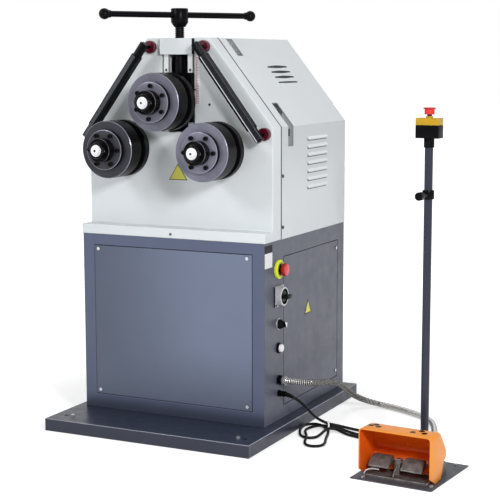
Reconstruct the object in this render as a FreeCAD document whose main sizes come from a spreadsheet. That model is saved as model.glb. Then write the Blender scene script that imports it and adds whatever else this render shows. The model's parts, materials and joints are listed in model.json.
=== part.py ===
import FreeCAD, Part
import math
import os
import Sketcher

# Ring roller: a three-roll section bender on a sheet-steel cabinet, with a foot switch and a
# pendant post beside it.  Millimetres.  +X is the operator's right, -Y faces the operator, +Z is
# up, and the origin is on the floor under the middle of the cabinet.

os.makedirs("parts", exist_ok=True)
doc = FreeCAD.newDocument("ring_roller")
Vector = FreeCAD.Vector
Rotation = FreeCAD.Rotation
Placement = FreeCAD.Placement

# Each driving size is a number; a formula is worked out from the sizes above it.
DIMENSIONS = [
    # Cabinet and floor plinth
    ("cabinet_width", 650), ("cabinet_depth", 640), ("cabinet_height", 574),
    ("cabinet_wall", 3), ("plinth_height", 40), ("plinth_wall", 8), ("plinth_left", 31),
    ("plinth_right", 41), ("plinth_front", 194), ("plinth_rear", 28), ("anchor_span_x", 640),
    ("anchor_span_y", 740), ("anchor_radius", 7), ("boss_radius", 16), ("rib_half", 10),
    ("half_width", "cabinet_width / 2"), ("half_depth", "cabinet_depth / 2"),
    ("cabinet_top", "plinth_height + cabinet_height"),
    ("panel_margin", 43), ("panel_foot", 48), ("panel_head", 37),
    ("panel_half", "half_width - panel_margin"), ("panel_low", "plinth_height + panel_foot"),
    ("panel_high", "cabinet_top - panel_head"),
    ("side_panel_start", 142), ("side_panel_end", 58), ("side_panel_foot", 43),
    ("side_panel_head", 57), ("side_panel_front", "side_panel_start - half_depth"),
    ("side_panel_back", "half_depth - side_panel_end"),
    ("side_panel_low", "plinth_height + side_panel_foot"),
    ("side_panel_high", "cabinet_top - side_panel_head"), ("screw_radius", 5.5),
    # Head: casting, hood and their outline
    ("head_overhang", 3), ("shoulder_rise", 349), ("crown_rise", 622), ("crown_half", 110),
    ("casting_half", "half_width + head_overhang"),
    ("casting_shoulder", "cabinet_top + shoulder_rise"),
    ("casting_crown", "cabinet_top + crown_rise"),
    ("rise", "casting_crown - casting_shoulder"), ("run", "casting_half - crown_half"),
    ("slope", "sqrt(rise * rise + run * run)"),
    ("casting_inset", 56), ("casting_wall", 25), ("casting_depth", 62), ("rim_wall", 14),
    ("casting_front", "casting_inset - half_depth"), ("seam", "casting_front + casting_depth"),
    ("apron_reach", 1.5), ("apron_height", 31.6), ("apron_front", "-half_depth - apron_reach"),
    ("apron_top", "cabinet_top + apron_height"), ("hood_inset", 2), ("hood_sheet", 2.5),
    ("hood_back", "half_depth - hood_inset"), ("louvre_drop", 39), ("louvre_pitch", 26),
    ("louvre_length", 157.6), ("louvre_inset", 163), ("slit_length", 146), ("slit_inset", 166),
    ("slit_drop", 119.4), ("slit_pitch", 21.1), ("strap_start", 50), ("strap_width", 38.5),
    # Rolls, each set out along its shaft from the casting's face
    ("roll_rise", 279.5), ("top_roll_lift", 147.5), ("side_roll_x", 166),
    ("side_roll_z", "cabinet_top + roll_rise"), ("top_roll_z", "side_roll_z + top_roll_lift"),
    ("roll_radius", 89), ("groove_radius", 66), ("seat_radius", 25), ("hub_radius", 37),
    ("flange_radius", 62), ("nut_radius", 25.5), ("running_gap", 0.05), ("ring_stand", 48),
    ("rear_ring_width", 23), ("spacer_width", 27), ("front_ring_width", 59.7),
    ("flange_width", 17.3), ("hub_length", 30), ("nut_length", 16), ("shaft_end", 7),
    ("rear_ring_back", "casting_front - ring_stand"),
    ("spacer_back", "rear_ring_back - rear_ring_width"),
    ("front_ring_back", "spacer_back - spacer_width"),
    ("ring_front", "front_ring_back - front_ring_width"),
    ("flange_front", "ring_front - flange_width"), ("hub_front", "flange_front - hub_length"),
    ("nut_front", "hub_front - nut_length"), ("shaft_front", "nut_front - shaft_end"),
    # Top slide, its slot and the feed screw
    ("slide_reach", 14), ("slide_drop", 65), ("slide_rise", 88), ("slide_depth", 154),
    ("slide_front", "casting_front - slide_reach"), ("slide_back", "casting_front + slide_depth"),
    ("slide_low", "top_roll_z - slide_drop"), ("slide_high", "top_roll_z + slide_rise"),
    ("slot_half", 58), ("slot_depth", 12), ("slot_room", 32), ("way_half", 34.8),
    ("slot_low", "slide_low - slot_room"), ("gib_width", 16.5), ("block_height", 50.3),
    ("block_inset", 1), ("block_high", "casting_crown - block_inset"),
    ("block_low", "block_high - block_height"), ("screw_inset", 14.5),
    ("screw_y", "casting_front + screw_inset"), ("screw_stem", 15), ("handle_lift", 70.5),
    ("handle_z", "casting_crown + handle_lift"), ("handle_reach", 256),
    ("handle_bar_radius", 9.3), ("ball_radius", 17), ("handle_angle", 56.9),
    # Side guide rails
    ("rail_half", 11), ("sleeve_half", 14), ("rail_near", 39), ("rail_far", 61),
    ("sleeve_lap", 2), ("sleeve_inset", 46), ("rail_end", 0.6), ("rail_end_inset", 27.6),
    ("rail_overrun", 19.2), ("rail_foot_inset", 38.4), ("cap_radius", 20),
    ("cap_height", 15), ("stud_radius", 6),
    # Gears, bearing plate, gearbox and motor
    ("gear_radius", 130), ("pinion_radius", 45), ("gear_stand", 214), ("gear_face", 40),
    ("gear_back", "casting_front + gear_stand"), ("plate_stand", 90), ("plate_depth", 25),
    ("plate_front", "gear_back + plate_stand"), ("plate_back", "plate_front + plate_depth"),
    ("tie_radius", 15), ("gearbox_half", 75), ("gearbox_depth", 150), ("gearbox_drop", 108),
    ("gearbox_rise", 68), ("worm_half", 88), ("worm_radius", 55), ("motor_stand", 85),
    ("motor_y", "plate_back + motor_stand"), ("motor_radius", 70), ("motor_length", 300),
    ("motor_bell", 55), ("fin_pitch", 36),
    # Controls on the right side, and the control gear inside
    ("control_inset", 102), ("stop_drop", 91), ("switch_drop", 175), ("selector_drop", 264),
    ("start_drop", 340), ("hose_rise", 131), ("cord_rise", 88),
    ("panel_y", "control_inset - half_depth"), ("stop_z", "cabinet_top - stop_drop"),
    ("switch_z", "cabinet_top - switch_drop"), ("selector_z", "cabinet_top - selector_drop"),
    ("start_z", "cabinet_top - start_drop"), ("hose_z", "plinth_height + hose_rise"),
    ("cord_z", "plinth_height + cord_rise"), ("hose_diameter", 20), ("cord_diameter", 9),
    ("mount_start", 220), ("mount_end", 120), ("mount_foot", 110), ("mount_head", 124),
    ("device_depth", 75), ("device_width", 48), ("device_height", 80), ("device_pitch", 62),
    # Foot switch and pendant post
    ("post_x", 839), ("post_y", -432.5), ("post_turn", -4.7), ("floor_width", 248),
    ("floor_depth", 273), ("floor_sheet", 4), ("pole_radius", 12), ("pole_high", 945),
    ("pole_u", -4), ("pole_v", 108), ("foot_half", 110), ("foot_high", 143), ("foot_sheet", 4),
    ("pedal_pin_radius", 4),
]


class Size:
    """A number, with the expression that works it out from the sheet."""

    def __init__(self, text, value, driven):
        self.text = text
        self.value = float(value)
        self.driven = driven

    def joined(self, sign, other, value):
        text = "(%s %s %s)" % (self.text, sign, other.text)
        return Size(text, value, self.driven or other.driven)

    def __add__(self, other):
        other = as_size(other)
        return self.joined("+", other, self.value + other.value)

    def __sub__(self, other):
        other = as_size(other)
        return self.joined("-", other, self.value - other.value)

    def __mul__(self, other):
        other = as_size(other)
        return self.joined("*", other, self.value * other.value)

    def __truediv__(self, other):
        other = as_size(other)
        return self.joined("/", other, self.value / other.value)

    def __radd__(self, other):
        return as_size(other) + self

    def __rsub__(self, other):
        return as_size(other) - self

    def __rmul__(self, other):
        return as_size(other) * self

    def __neg__(self):
        return as_size(0) - self

    def root(self):
        return Size("sqrt(%s)" % self.text, math.sqrt(self.value), self.driven)


def as_size(number):
    if isinstance(number, Size):
        return number
    text = "%r" % float(number)
    return Size("(%s)" % text if number < 0 else text, number, False)


class Sheet:
    """The driving dimensions, each by its alias."""


d = Sheet()
sheet = doc.addObject("Spreadsheet::Sheet", "Sizes")
for row, (alias, amount) in enumerate(DIMENSIONS, 1):
    sheet.set("A%d" % row, alias)
    sheet.set("B%d" % row, "=" + amount if isinstance(amount, str) else "%s" % amount)
    sheet.setAlias("B%d" % row, alias)
doc.recompute()
for alias, amount in DIMENSIONS:
    setattr(d, alias, Size("Sizes." + alias, sheet.get(alias), True))

ALONG = {
    "x": Rotation(Vector(0, 1, 0), 90),
    "y": Rotation(Vector(1, 0, 0), -90),
    "z": Rotation(),
}
named = {}


def bind(item, prop, number):
    number = as_size(number)
    if number.driven:
        item.setExpression(prop, number.text)
    else:
        setattr(item, prop, number.value)


def place(item, spot, rotation=None):
    spot = [as_size(number) for number in spot]
    corner = Vector(*[number.value for number in spot])
    item.Placement = Placement(corner, rotation or Rotation())
    for axis, number in zip("xyz", spot):
        if number.driven:
            item.setExpression("Placement.Base." + axis, number.text)
    return item


def box(x, y, z):
    item = doc.addObject("Part::Box", "Block")
    for prop, (low, high) in (("Length", x), ("Width", y), ("Height", z)):
        bind(item, prop, as_size(high) - low)
    return place(item, (x[0], y[0], z[0]))


def around(axis, centre, start):
    first, second = centre
    return {"x": (start, first, second), "y": (first, start, second),
            "z": (first, second, start)}[axis]


def rod(axis, centre, radius, span):
    item = doc.addObject("Part::Cylinder", "Rod")
    bind(item, "Radius", radius)
    bind(item, "Height", as_size(span[1]) - span[0])
    return place(item, around(axis, centre, span[0]), ALONG[axis])


def ball(axis, centre, radius):
    """A ball whose poles lie along an axis."""
    item = doc.addObject("Part::Sphere", "Ball")
    bind(item, "Radius", radius)
    return place(item, centre, ALONG[axis])


def hexagon(axis, centre, radius, span):
    item = doc.addObject("Part::Prism", "Hexagon")
    item.Polygon = 6
    bind(item, "Circumradius", radius)
    bind(item, "Height", as_size(span[1]) - span[0])
    return place(item, around(axis, centre, span[0]), ALONG[axis])


def join(*pieces):
    if len(pieces) == 1:
        return pieces[0]
    item = doc.addObject("Part::MultiFuse", "Joined")
    item.Shapes = list(pieces)
    item.Refine = True
    return item


def cut(base, *tools):
    item = doc.addObject("Part::Cut", "Cut")
    item.Base = base
    item.Tool = join(*tools)
    item.Refine = True
    return item


def group(*pieces):
    item = doc.addObject("Part::Compound", "Set")
    item.Links = list(pieces)
    return item


def name(label, item):
    item.Label = label
    named[label] = item
    return item


def outline(body, plane, points, offset=0):
    """A closed polygon on one of the body's own planes, each corner held from the origin."""
    planes = {feature.Role: feature for feature in body.Origin.OriginFeatures}
    sketch = body.newObject("Sketcher::SketchObject", "Outline")
    sketch.AttachmentSupport = [(planes[plane.upper() + "_Plane"], "")]
    sketch.MapMode = "FlatFace"
    offset = as_size(offset)
    sketch.AttachmentOffset = Placement(Vector(0, 0, offset.value), Rotation())
    if offset.driven:
        sketch.setExpression("AttachmentOffset.Base.z", offset.text)
    points = [(as_size(across), as_size(up)) for across, up in points]
    corners = [Vector(across.value, up.value, 0) for across, up in points]
    count = len(corners)
    for index in range(count):
        sketch.addGeometry(Part.LineSegment(corners[index], corners[(index + 1) % count]), False)
    for index in range(count):
        sketch.addConstraint(Sketcher.Constraint("Coincident", index, 2, (index + 1) % count, 1))
    for index, (across, up) in enumerate(points):
        for kind, number, axis in (("DistanceX", across, -2), ("DistanceY", up, -1)):
            if number.value == 0 and not number.driven:
                sketch.addConstraint(Sketcher.Constraint("PointOnObject", index, 1, axis))
                continue
            held = Sketcher.Constraint(kind, -1, 1, index, 1, number.value)
            mark = sketch.addConstraint(held)
            if number.driven:
                sketch.setExpression("Constraints[%d]" % mark, number.text)
    return sketch


def plate(plane, points, span):
    """A polygon padded from span[0] to span[1] along the plane's own axis."""
    low, high = as_size(span[0]), as_size(span[1])
    body = doc.addObject("PartDesign::Body", "Plate")
    sketch = outline(body, plane, points, -high if plane == "xz" else low)
    pad = body.newObject("PartDesign::Pad", "Pad")
    pad.Profile = sketch
    bind(pad, "Length", high - low)
    return body


def turned(axis, points, spot):
    """A solid of revolution: points are (distance along the axis, radius)."""
    body = doc.addObject("PartDesign::Body", "Turned")
    if axis == "z":
        sketch = outline(body, "xz", [(radius, along) for along, radius in points])
    else:
        sketch = outline(body, {"y": "yz", "x": "xy"}[axis], points)
    revolution = body.newObject("PartDesign::Revolution", "Revolution")
    revolution.Profile = sketch
    revolution.ReferenceAxis = (sketch, ["V_Axis" if axis == "z" else "H_Axis"])
    revolution.Angle = 360
    return place(body, spot)


def mirrored(side, number):
    return number if side > 0 else -as_size(number)


def across(side, low, high):
    """A span in X on the right, or its mirror image on the left."""
    return (low, high) if side > 0 else (-as_size(high), -as_size(low))


SIDES = (("right", 1), ("left", -1))
wall = d.cabinet_wall
half_width = d.half_width
half_depth = d.half_depth

# ---- Floor plinth: a pan of plate with ribs and bosses under it -------------------------------
plinth_x = (-half_width - d.plinth_left, half_width + d.plinth_right)
plinth_y = (-half_depth - d.plinth_front, half_depth + d.plinth_rear)
anchors = []
for side_x in (-1, 1):
    for side_y in (-1, 1):
        anchors.append(((plinth_x[0] + plinth_x[1] + d.anchor_span_x * side_x) / 2,
                        (plinth_y[0] + plinth_y[1] + d.anchor_span_y * side_y) / 2))
inner_x = (plinth_x[0] + d.plinth_wall, plinth_x[1] - d.plinth_wall)
inner_y = (plinth_y[0] + d.plinth_wall, plinth_y[1] - d.plinth_wall)
under = d.plinth_height - d.plinth_wall
pan = cut(box(plinth_x, plinth_y, (0, d.plinth_height)), box(inner_x, inner_y, (-1, under)))
rib = (-d.rib_half, d.rib_half)
ribs = [box(inner_x, rib, (0, under)), box(rib, inner_y, (0, under))]
bosses = [rod("z", spot, d.boss_radius, (0, under)) for spot in anchors]
holes = [rod("z", spot, d.anchor_radius, (-1, d.plinth_height + 1)) for spot in anchors]
name("base_plinth", cut(join(pan, *(ribs + bosses)), *holes))

# ---- Screws: one pan-head screw wherever a cover is held ---------------------------------------
screws = []


def screw(axis, centre, face, outward, length=12, head=None, flat=3):
    """A pan-head screw whose head stands on the face; what comes back is its hole's drill."""
    head = head or d.screw_radius
    inner = as_size(face) - outward * length
    outer = as_size(face) + outward * flat
    shank = (inner, face) if outward > 0 else (face, inner)
    cap = (face, outer) if outward > 0 else (outer, face)
    screws.append(join(rod(axis, centre, head, cap), rod(axis, centre, 3, shank)))
    hole = (shank[0], as_size(shank[1]) + 1) if outward > 0 else (as_size(face) - 1, shank[1])
    return rod(axis, centre, 3, hole)


# ---- Cabinet: a folded shell with an opening for each cover and one for the motor --------------
panel_half = d.panel_half
front_y = -half_depth
front_screws = []
for side, sign in SIDES:
    for height in (d.panel_low + 13, d.panel_high - 11):
        spot = (mirrored(sign, panel_half - 15), height)
        front_screws.append(screw("y", spot, front_y, -1))
side_screws = []
for height in (d.side_panel_low + 22, d.side_panel_high - 25):
    side_screws.append(screw("x", (d.side_panel_back - 15, height), half_width, 1))
shell = cut(
    box((-half_width, half_width), (-half_depth, half_depth), (d.plinth_height, d.cabinet_top)),
    box((-half_width + wall, half_width - wall), (-half_depth + wall, half_depth - wall),
        (d.plinth_height + wall, d.cabinet_top - wall)))
front_lip = cut(
    box((-panel_half - 18, panel_half + 18), (front_y + wall, front_y + wall * 2),
        (d.panel_low - 18, d.panel_high + 18)),
    box((-panel_half + 26, panel_half - 26), (front_y, front_y + wall * 3),
        (d.panel_low + 26, d.panel_high - 26)))
side_lip = cut(
    box((half_width - wall * 2, half_width - wall),
        (d.side_panel_front - 14, d.side_panel_back + 14),
        (d.side_panel_low - 14, d.side_panel_high + 14)),
    box((half_width - wall * 3, half_width),
        (d.side_panel_front + 24, d.side_panel_back - 24),
        (d.side_panel_low + 24, d.side_panel_high - 24)))
front_hole = box((-panel_half - 2, panel_half + 2), (front_y - 1, front_y + wall),
                 (d.panel_low - 2, d.panel_high + 2))
side_hole = box((half_width - wall, half_width + 1),
                (d.side_panel_front - 2, d.side_panel_back + 2),
                (d.side_panel_low - 2, d.side_panel_high + 2))
motor_hole = box((-d.motor_radius - 8, d.motor_radius + 8),
                 (d.motor_y - d.motor_radius - 6, d.motor_y + d.motor_radius + 6),
                 (d.cabinet_top - wall - 1, d.cabinet_top + 1))
through = (half_width - wall - 1, half_width + 1)
control_holes = [
    rod("x", (d.panel_y, d.stop_z), 16, through),
    rod("x", (d.panel_y, d.switch_z), 14, through),
    rod("x", (d.panel_y, d.selector_z), 11, through),
    rod("x", (d.panel_y, d.start_z), 13.5, through),
    rod("x", (d.panel_y, d.hose_z), 10, through),
    rod("x", (d.panel_y, d.cord_z), 7, through),
]
open_shell = cut(shell, front_hole, side_hole, motor_hole, *control_holes)
name("cabinet_shell", cut(join(open_shell, front_lip, side_lip), *(front_screws + side_screws)))
front_sheet = box((-panel_half, panel_half), (front_y, front_y + wall),
                  (d.panel_low, d.panel_high))
name("front_panel", cut(front_sheet, *front_screws))
side_sheet = box((half_width - wall, half_width), (d.side_panel_front, d.side_panel_back),
                 (d.side_panel_low, d.side_panel_high))
name("side_panel", cut(side_sheet, *side_screws))

# ---- The head's outline: upright sides, a slope at each shoulder and a flat crown --------------
rise, run, slope = d.rise, d.run, d.slope


def head_outline(inset, low):
    shoulder_x = d.casting_half - inset
    shoulder_z = d.casting_shoulder - as_size(inset) * (slope - rise) / run
    crown_x = d.crown_half - as_size(inset) * (slope - run) / rise
    crown_z = d.casting_crown - inset
    return [(-shoulder_x, low), (shoulder_x, low), (shoulder_x, shoulder_z), (crown_x, crown_z),
            (-crown_x, crown_z), (-shoulder_x, shoulder_z)]


def slope_point(side, up, out):
    """A point up the slope from the shoulder, moved out from its surface."""
    x = d.casting_half - run * up / slope + rise * out / slope
    z = d.casting_shoulder + rise * up / slope + run * out / slope
    return (mirrored(side, x), z)


# ---- Front casting: wall, rim, apron and the bearing bosses ------------------------------------
face = d.casting_front
wall_back = face + d.casting_wall
roll_spots = {"right": (d.side_roll_x, d.side_roll_z), "left": (-d.side_roll_x, d.side_roll_z)}
front_wall = plate("xz", head_outline(0, d.cabinet_top), (face, wall_back))
rim = cut(plate("xz", head_outline(0, d.cabinet_top), (wall_back, d.seam)),
          plate("xz", head_outline(d.rim_wall, d.cabinet_top + d.rim_wall),
                (wall_back - 1, d.seam + 1)))
lip_in = d.hood_sheet
lip = cut(plate("xz", head_outline(lip_in, d.cabinet_top), (d.seam, d.seam + 22)),
          plate("xz", head_outline(d.rim_wall, d.cabinet_top + d.rim_wall),
                (d.seam - 1, d.seam + 23)))
apron = box((-d.casting_half, d.casting_half), (d.apron_front, face),
            (d.cabinet_top, d.apron_top))
bearing_bosses = [rod("y", roll_spots[side], 55, (wall_back, d.seam)) for side, sign in SIDES]
slot = box((-d.slot_half, d.slot_half), (face - 1, face + d.slot_depth),
           (d.slot_low, d.casting_crown + 1))
way = box((-d.way_half, d.way_half), (face, d.seam + 24), (d.slot_low, d.casting_crown + 1))
bush_seats = [rod("y", roll_spots[side], 32, (face - 1, d.seam + 1)) for side, sign in SIDES]
apron_screw = screw("y", (0, d.cabinet_top + 13), d.apron_front, -1, head=4, flat=2)
face_screw = screw("y", (d.slot_half + 53.4, d.top_roll_z - 10.3), face, -1, head=4, flat=2)
gib_screws = []
for side, sign in SIDES:
    for height in (d.block_low - 48, d.slot_low + 46):
        spot = (mirrored(sign, d.way_half + 7.9), height)
        gib_screws.append(screw("y", spot, face + 7, -1, length=14, head=4.5, flat=4))
hood_screws = []
for side, sign in SIDES:
    for z in (d.casting_shoulder - 152, d.cabinet_top + 38):
        hood_screws.append(screw("x", (d.seam + 8.6, z), mirrored(sign, d.casting_half), sign))
name("front_casting",
     cut(join(front_wall, rim, lip, apron, *bearing_bosses), slot, way, apron_screw, face_screw,
         *(bush_seats + gib_screws + hood_screws)))

# ---- Rear hood: one folded sheet with louvres and strap recesses a side, slits on the right ----
sheet_in = d.hood_sheet
hood = cut(plate("xz", head_outline(0, d.cabinet_top), (d.seam, d.hood_back)),
           plate("xz", head_outline(sheet_in, d.cabinet_top - 1),
                 (d.seam - 1, d.hood_back - sheet_in)))
openings = []
added = []
louvre_y = (d.hood_back - d.louvre_inset - d.louvre_length, d.hood_back - d.louvre_inset)
slit_y = (d.hood_back - d.slit_inset - d.slit_length, d.hood_back - d.slit_inset)
recess_y = (d.seam + d.strap_start, d.seam + d.strap_start + d.strap_width)
tray_y = (recess_y[0] - 5, recess_y[1] + 5)
for side, sign in SIDES:
    for number in range(7):
        height = d.casting_shoulder - d.louvre_drop - d.louvre_pitch * number
        gap = across(sign, d.casting_half - sheet_in - 1, d.casting_half + 1)
        openings.append(box(gap, louvre_y, (height - 9, height - 1)))
        blade = [(d.casting_half - sheet_in, height), (d.casting_half, height),
                 (d.casting_half + 5, height - 8), (d.casting_half + 5, height - 11),
                 (d.casting_half + 3.4, height - 9.5)]
        added.append(plate("xz", [(mirrored(sign, x), z) for x, z in blade], louvre_y))
    low, high = slope - 70.4, slope - 4.4
    recess_top = [slope_point(sign, low, -sheet_in), slope_point(sign, low, 3),
                  slope_point(sign, high, 3), slope_point(sign, high, -sheet_in)]
    openings.append(plate("xz", recess_top, recess_y))
    low, high = low - 5, high + 2
    tray_top = [slope_point(sign, low, -sheet_in * 2), slope_point(sign, low, -sheet_in),
                slope_point(sign, high, -sheet_in), slope_point(sign, high, -sheet_in * 2)]
    added.append(plate("xz", tray_top, tray_y))
    inset_z = d.casting_shoulder - sheet_in * (slope - rise) / run
    back_z = d.casting_shoulder - sheet_in * 2 * (slope - rise) / run
    low_z = d.casting_shoulder - 62
    knee = (mirrored(sign, d.casting_half - sheet_in), inset_z)
    deep_knee = (mirrored(sign, d.casting_half - sheet_in * 2), back_z)
    recess = [slope_point(sign, 91, -sheet_in), slope_point(sign, 91, 6),
              (mirrored(sign, d.casting_half + 6), d.casting_shoulder + 3),
              (mirrored(sign, d.casting_half + 6), low_z),
              (mirrored(sign, d.casting_half - sheet_in), low_z), knee]
    openings.append(plate("xz", recess, recess_y))
    tray = [slope_point(sign, 96, -sheet_in * 2), slope_point(sign, 96, -sheet_in), knee,
            (mirrored(sign, d.casting_half - sheet_in), low_z - 5),
            (mirrored(sign, d.casting_half - sheet_in * 2), low_z - 5), deep_knee]
    added.append(plate("xz", tray, tray_y))
for number in range(4):
    low = slope - d.slit_drop - d.slit_pitch * number
    corners = [slope_point(1, low, -6), slope_point(1, low, 2),
               slope_point(1, low + 6, 2), slope_point(1, low + 6, -6)]
    openings.append(plate("xz", corners, slit_y))
name("rear_hood", cut(join(cut(hood, *openings), *added), *hood_screws))

# ---- Head block, guide gibs and the position scale ----------------------------------------------
rebate = face + d.slot_depth
block = join(box((-d.slot_half, d.slot_half), (face - 13.5, rebate), (d.block_low, d.block_high)),
             box((-d.way_half, d.way_half), (rebate, rebate + 27),
                 (d.block_low, d.block_high)))
bore = rod("z", (0, d.screw_y), d.screw_stem + d.running_gap, (d.block_low - 1, d.block_high + 1))
name("head_block", cut(block, bore))
gibs = []
for index, (side, sign) in enumerate(SIDES):
    gib = box(across(sign, d.way_half - 0.3, d.way_half + d.gib_width - 0.3),
              (face + 2, rebate), (d.slot_low, d.block_low))
    seats = [rod("y", (mirrored(sign, d.way_half + 7.9), height), 4.5, (face + 1, face + 7))
             for height in (d.block_low - 48, d.slot_low + 46)]
    gibs.append(cut(gib, *(seats + gib_screws[index * 2:index * 2 + 2])))
name("guide_gibs", group(*gibs))
name("position_scale", box((d.slot_half + 7, d.slot_half + 20), (face - 1, face),
                           (d.top_roll_z - 11, d.top_roll_z + 140)))

# ---- Drive frame: a rear bearing plate on four tie bars ------------------------------------------
pinion_drop = d.gear_radius + d.pinion_radius
pinion_z = d.side_roll_z - (pinion_drop * pinion_drop - d.side_roll_x * d.side_roll_x).root()
bearing_plate = plate("xz", head_outline(22, d.cabinet_top), (d.plate_front, d.plate_back))
ties = []
for side, sign in SIDES:
    for x, z in ((d.casting_half - 38, d.cabinet_top + 86),
                 (d.crown_half + 10, d.casting_crown - 161)):
        ties.append(rod("y", (mirrored(sign, x), z), d.tie_radius, (wall_back, d.plate_front)))
rear_seats = [rod("y", roll_spots[side], 26, (d.plate_front - 1, d.plate_back + 1))
              for side, sign in SIDES]
rear_seats.append(rod("y", (0, pinion_z), 20, (d.plate_front - 1, d.plate_back + 1)))
name("drive_frame", cut(join(bearing_plate, *ties), *rear_seats))

# ---- Shaft bushes: flanged bronze, front pair, rear pair and the pinion's ------------------------
gap = d.running_gap
bushes = []
for side, sign in SIDES:
    x, z = roll_spots[side]
    bushes.append(turned("y", [
        (face - 12, d.seat_radius + gap), (face - 12, 55), (face, 55), (face, 32),
        (d.seam, 32), (d.seam, d.seat_radius + gap)], (x, 0, z)))
    bushes.append(turned("y", [
        (d.plate_front - 4, 20 + gap), (d.plate_front - 4, 32), (d.plate_front, 32),
        (d.plate_front, 26), (d.plate_back, 26), (d.plate_back, 20 + gap)], (x, 0, z)))
bushes.append(turned("y", [
    (d.plate_front - 4, 15 + gap), (d.plate_front - 4, 28), (d.plate_front, 28),
    (d.plate_front, 20), (d.plate_back, 20), (d.plate_back, 15 + gap)], (0, 0, pinion_z)))
name("shaft_bushes", group(*bushes))

# ---- Gearbox and the motor that hangs from it into the cabinet -----------------------------------
box_back = d.plate_back + d.gearbox_depth
box_low = pinion_z - d.gearbox_drop
motor_top = box_low - 12
housing = join(
    box((-d.gearbox_half, d.gearbox_half), (d.plate_back, box_back),
        (box_low, pinion_z + d.gearbox_rise)),
    rod("x", (d.motor_y - 10, pinion_z), d.worm_radius, (-d.worm_half, d.worm_half)),
    rod("z", (0, d.motor_y), d.motor_radius + 8, (motor_top, box_low)))
socket = rod("y", (0, pinion_z), 14.4, (d.plate_back - 1, d.plate_back + 101))
name("gearbox", cut(housing, socket))
motor_low = motor_top - d.motor_length
fins = []
for number in range(5):
    top = motor_top - 60 - d.fin_pitch * number
    fins.append(rod("z", (0, d.motor_y), d.motor_radius, (top - 8, top)))
name("motor", join(
    rod("z", (0, d.motor_y), d.motor_radius, (motor_top - 30, motor_top)),
    rod("z", (0, d.motor_y), d.motor_radius - 5, (motor_low + 50, motor_top - 30)),
    rod("z", (0, d.motor_y), d.motor_radius, (motor_low, motor_low + d.motor_bell)),
    box((d.motor_radius - 12, d.motor_radius + 34), (d.motor_y - 40, d.motor_y + 40),
        (motor_low + 80, motor_low + 160)), *fins))

# ---- Control gear on the cabinet's inside left wall ----------------------------------------------
left_wall = -half_width + wall
mount_y = (d.mount_start - half_depth, half_depth - d.mount_end)
mount_z = (d.plinth_height + d.mount_foot, d.cabinet_top - d.mount_head)
studs = [rod("x", (y, z), 6, (left_wall, left_wall + 8))
         for y in (mount_y[0] + 20, mount_y[1] - 20) for z in (mount_z[0] + 20, mount_z[1] - 20)]
gear_plate = box((left_wall + 8, left_wall + 11), mount_y, mount_z)
devices = []
for number in range(4):
    y = mount_y[0] + 30 + d.device_pitch * number
    devices.append(box((left_wall + 11, left_wall + 11 + d.device_depth),
                       (y, y + d.device_width),
                       (mount_z[1] - 50 - d.device_height, mount_z[1] - 50)))
terminals = box((left_wall + 11, left_wall + 46), (mount_y[0] + 30, mount_y[1] - 36),
                (mount_z[0] + 60, mount_z[0] + 105))
name("control_gear", join(gear_plate, terminals, *(studs + devices)))

# ---- Side guide rails in front of the slopes, on studs from the crimson caps ---------------------
def kept(alias, size):
    """Keeps a worked-out size in the sheet under a name of its own."""
    row = len(DIMENSIONS) + 1
    DIMENSIONS.append((alias, size.text.replace("Sizes.", "")))
    sheet.set("A%d" % row, alias)
    sheet.set("B%d" % row, "=" + DIMENSIONS[-1][1])
    sheet.setAlias("B%d" % row, alias)
    return Size("Sizes." + alias, size.value, True)


rail_top = slope_point(1, slope - d.rail_end, -d.rail_end_inset)
rail_foot = slope_point(1, -d.rail_overrun, -d.rail_foot_inset)
rail_top = (kept("rail_top_x", rail_top[0]), kept("rail_top_z", rail_top[1]))
rail_fall = (kept("rail_fall_x", rail_foot[0] - rail_top[0]),
             kept("rail_fall_z", rail_foot[1] - rail_top[1]))
rail_length = kept("rail_length", (rail_fall[0] * rail_fall[0]
                                   + rail_fall[1] * rail_fall[1]).root())
rail_step = (kept("rail_step_x", rail_fall[0] / rail_length),
             kept("rail_step_z", rail_fall[1] / rail_length))


def rail_piece(side, start, end, half, lap):
    """A length of rail: start and end are measured down from its top end."""
    corners = []
    for along, out in ((start, -half), (end, -half), (end, half), (start, half)):
        x = rail_top[0] + rail_step[0] * along - rail_step[1] * out
        z = rail_top[1] + rail_step[1] * along + rail_step[0] * out
        corners.append((mirrored(side, x), z))
    return plate("xz", corners, (face - d.rail_far - lap, face - d.rail_near + lap))


rails = []
for side, sign in SIDES:
    rails.append(join(
        rail_piece(sign, 0, rail_length, d.rail_half, 0),
        rail_piece(sign, d.sleeve_inset, rail_length - d.sleeve_inset, d.sleeve_half,
                   d.sleeve_lap)))
name("guide_rails", group(*rails))
cap_spots = []
for side, sign in SIDES:
    cap_spots.append(slope_point(sign, slope - 12.33, -29.43))
    cap_spots.append(slope_point(sign, 0.99, -33.13))
cap_face = face - d.cap_height
name("rail_standoffs", group(*[rod("y", spot, d.stud_radius, (face - d.rail_near, cap_face))
                               for spot in cap_spots]))
name("rail_caps", group(*[turned("y", [
    (cap_face, 0), (cap_face, d.cap_radius - 2), (cap_face + 2, d.cap_radius),
    (face, d.cap_radius), (face, 0)], (spot[0], 0, spot[1])) for spot in cap_spots]))

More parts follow.
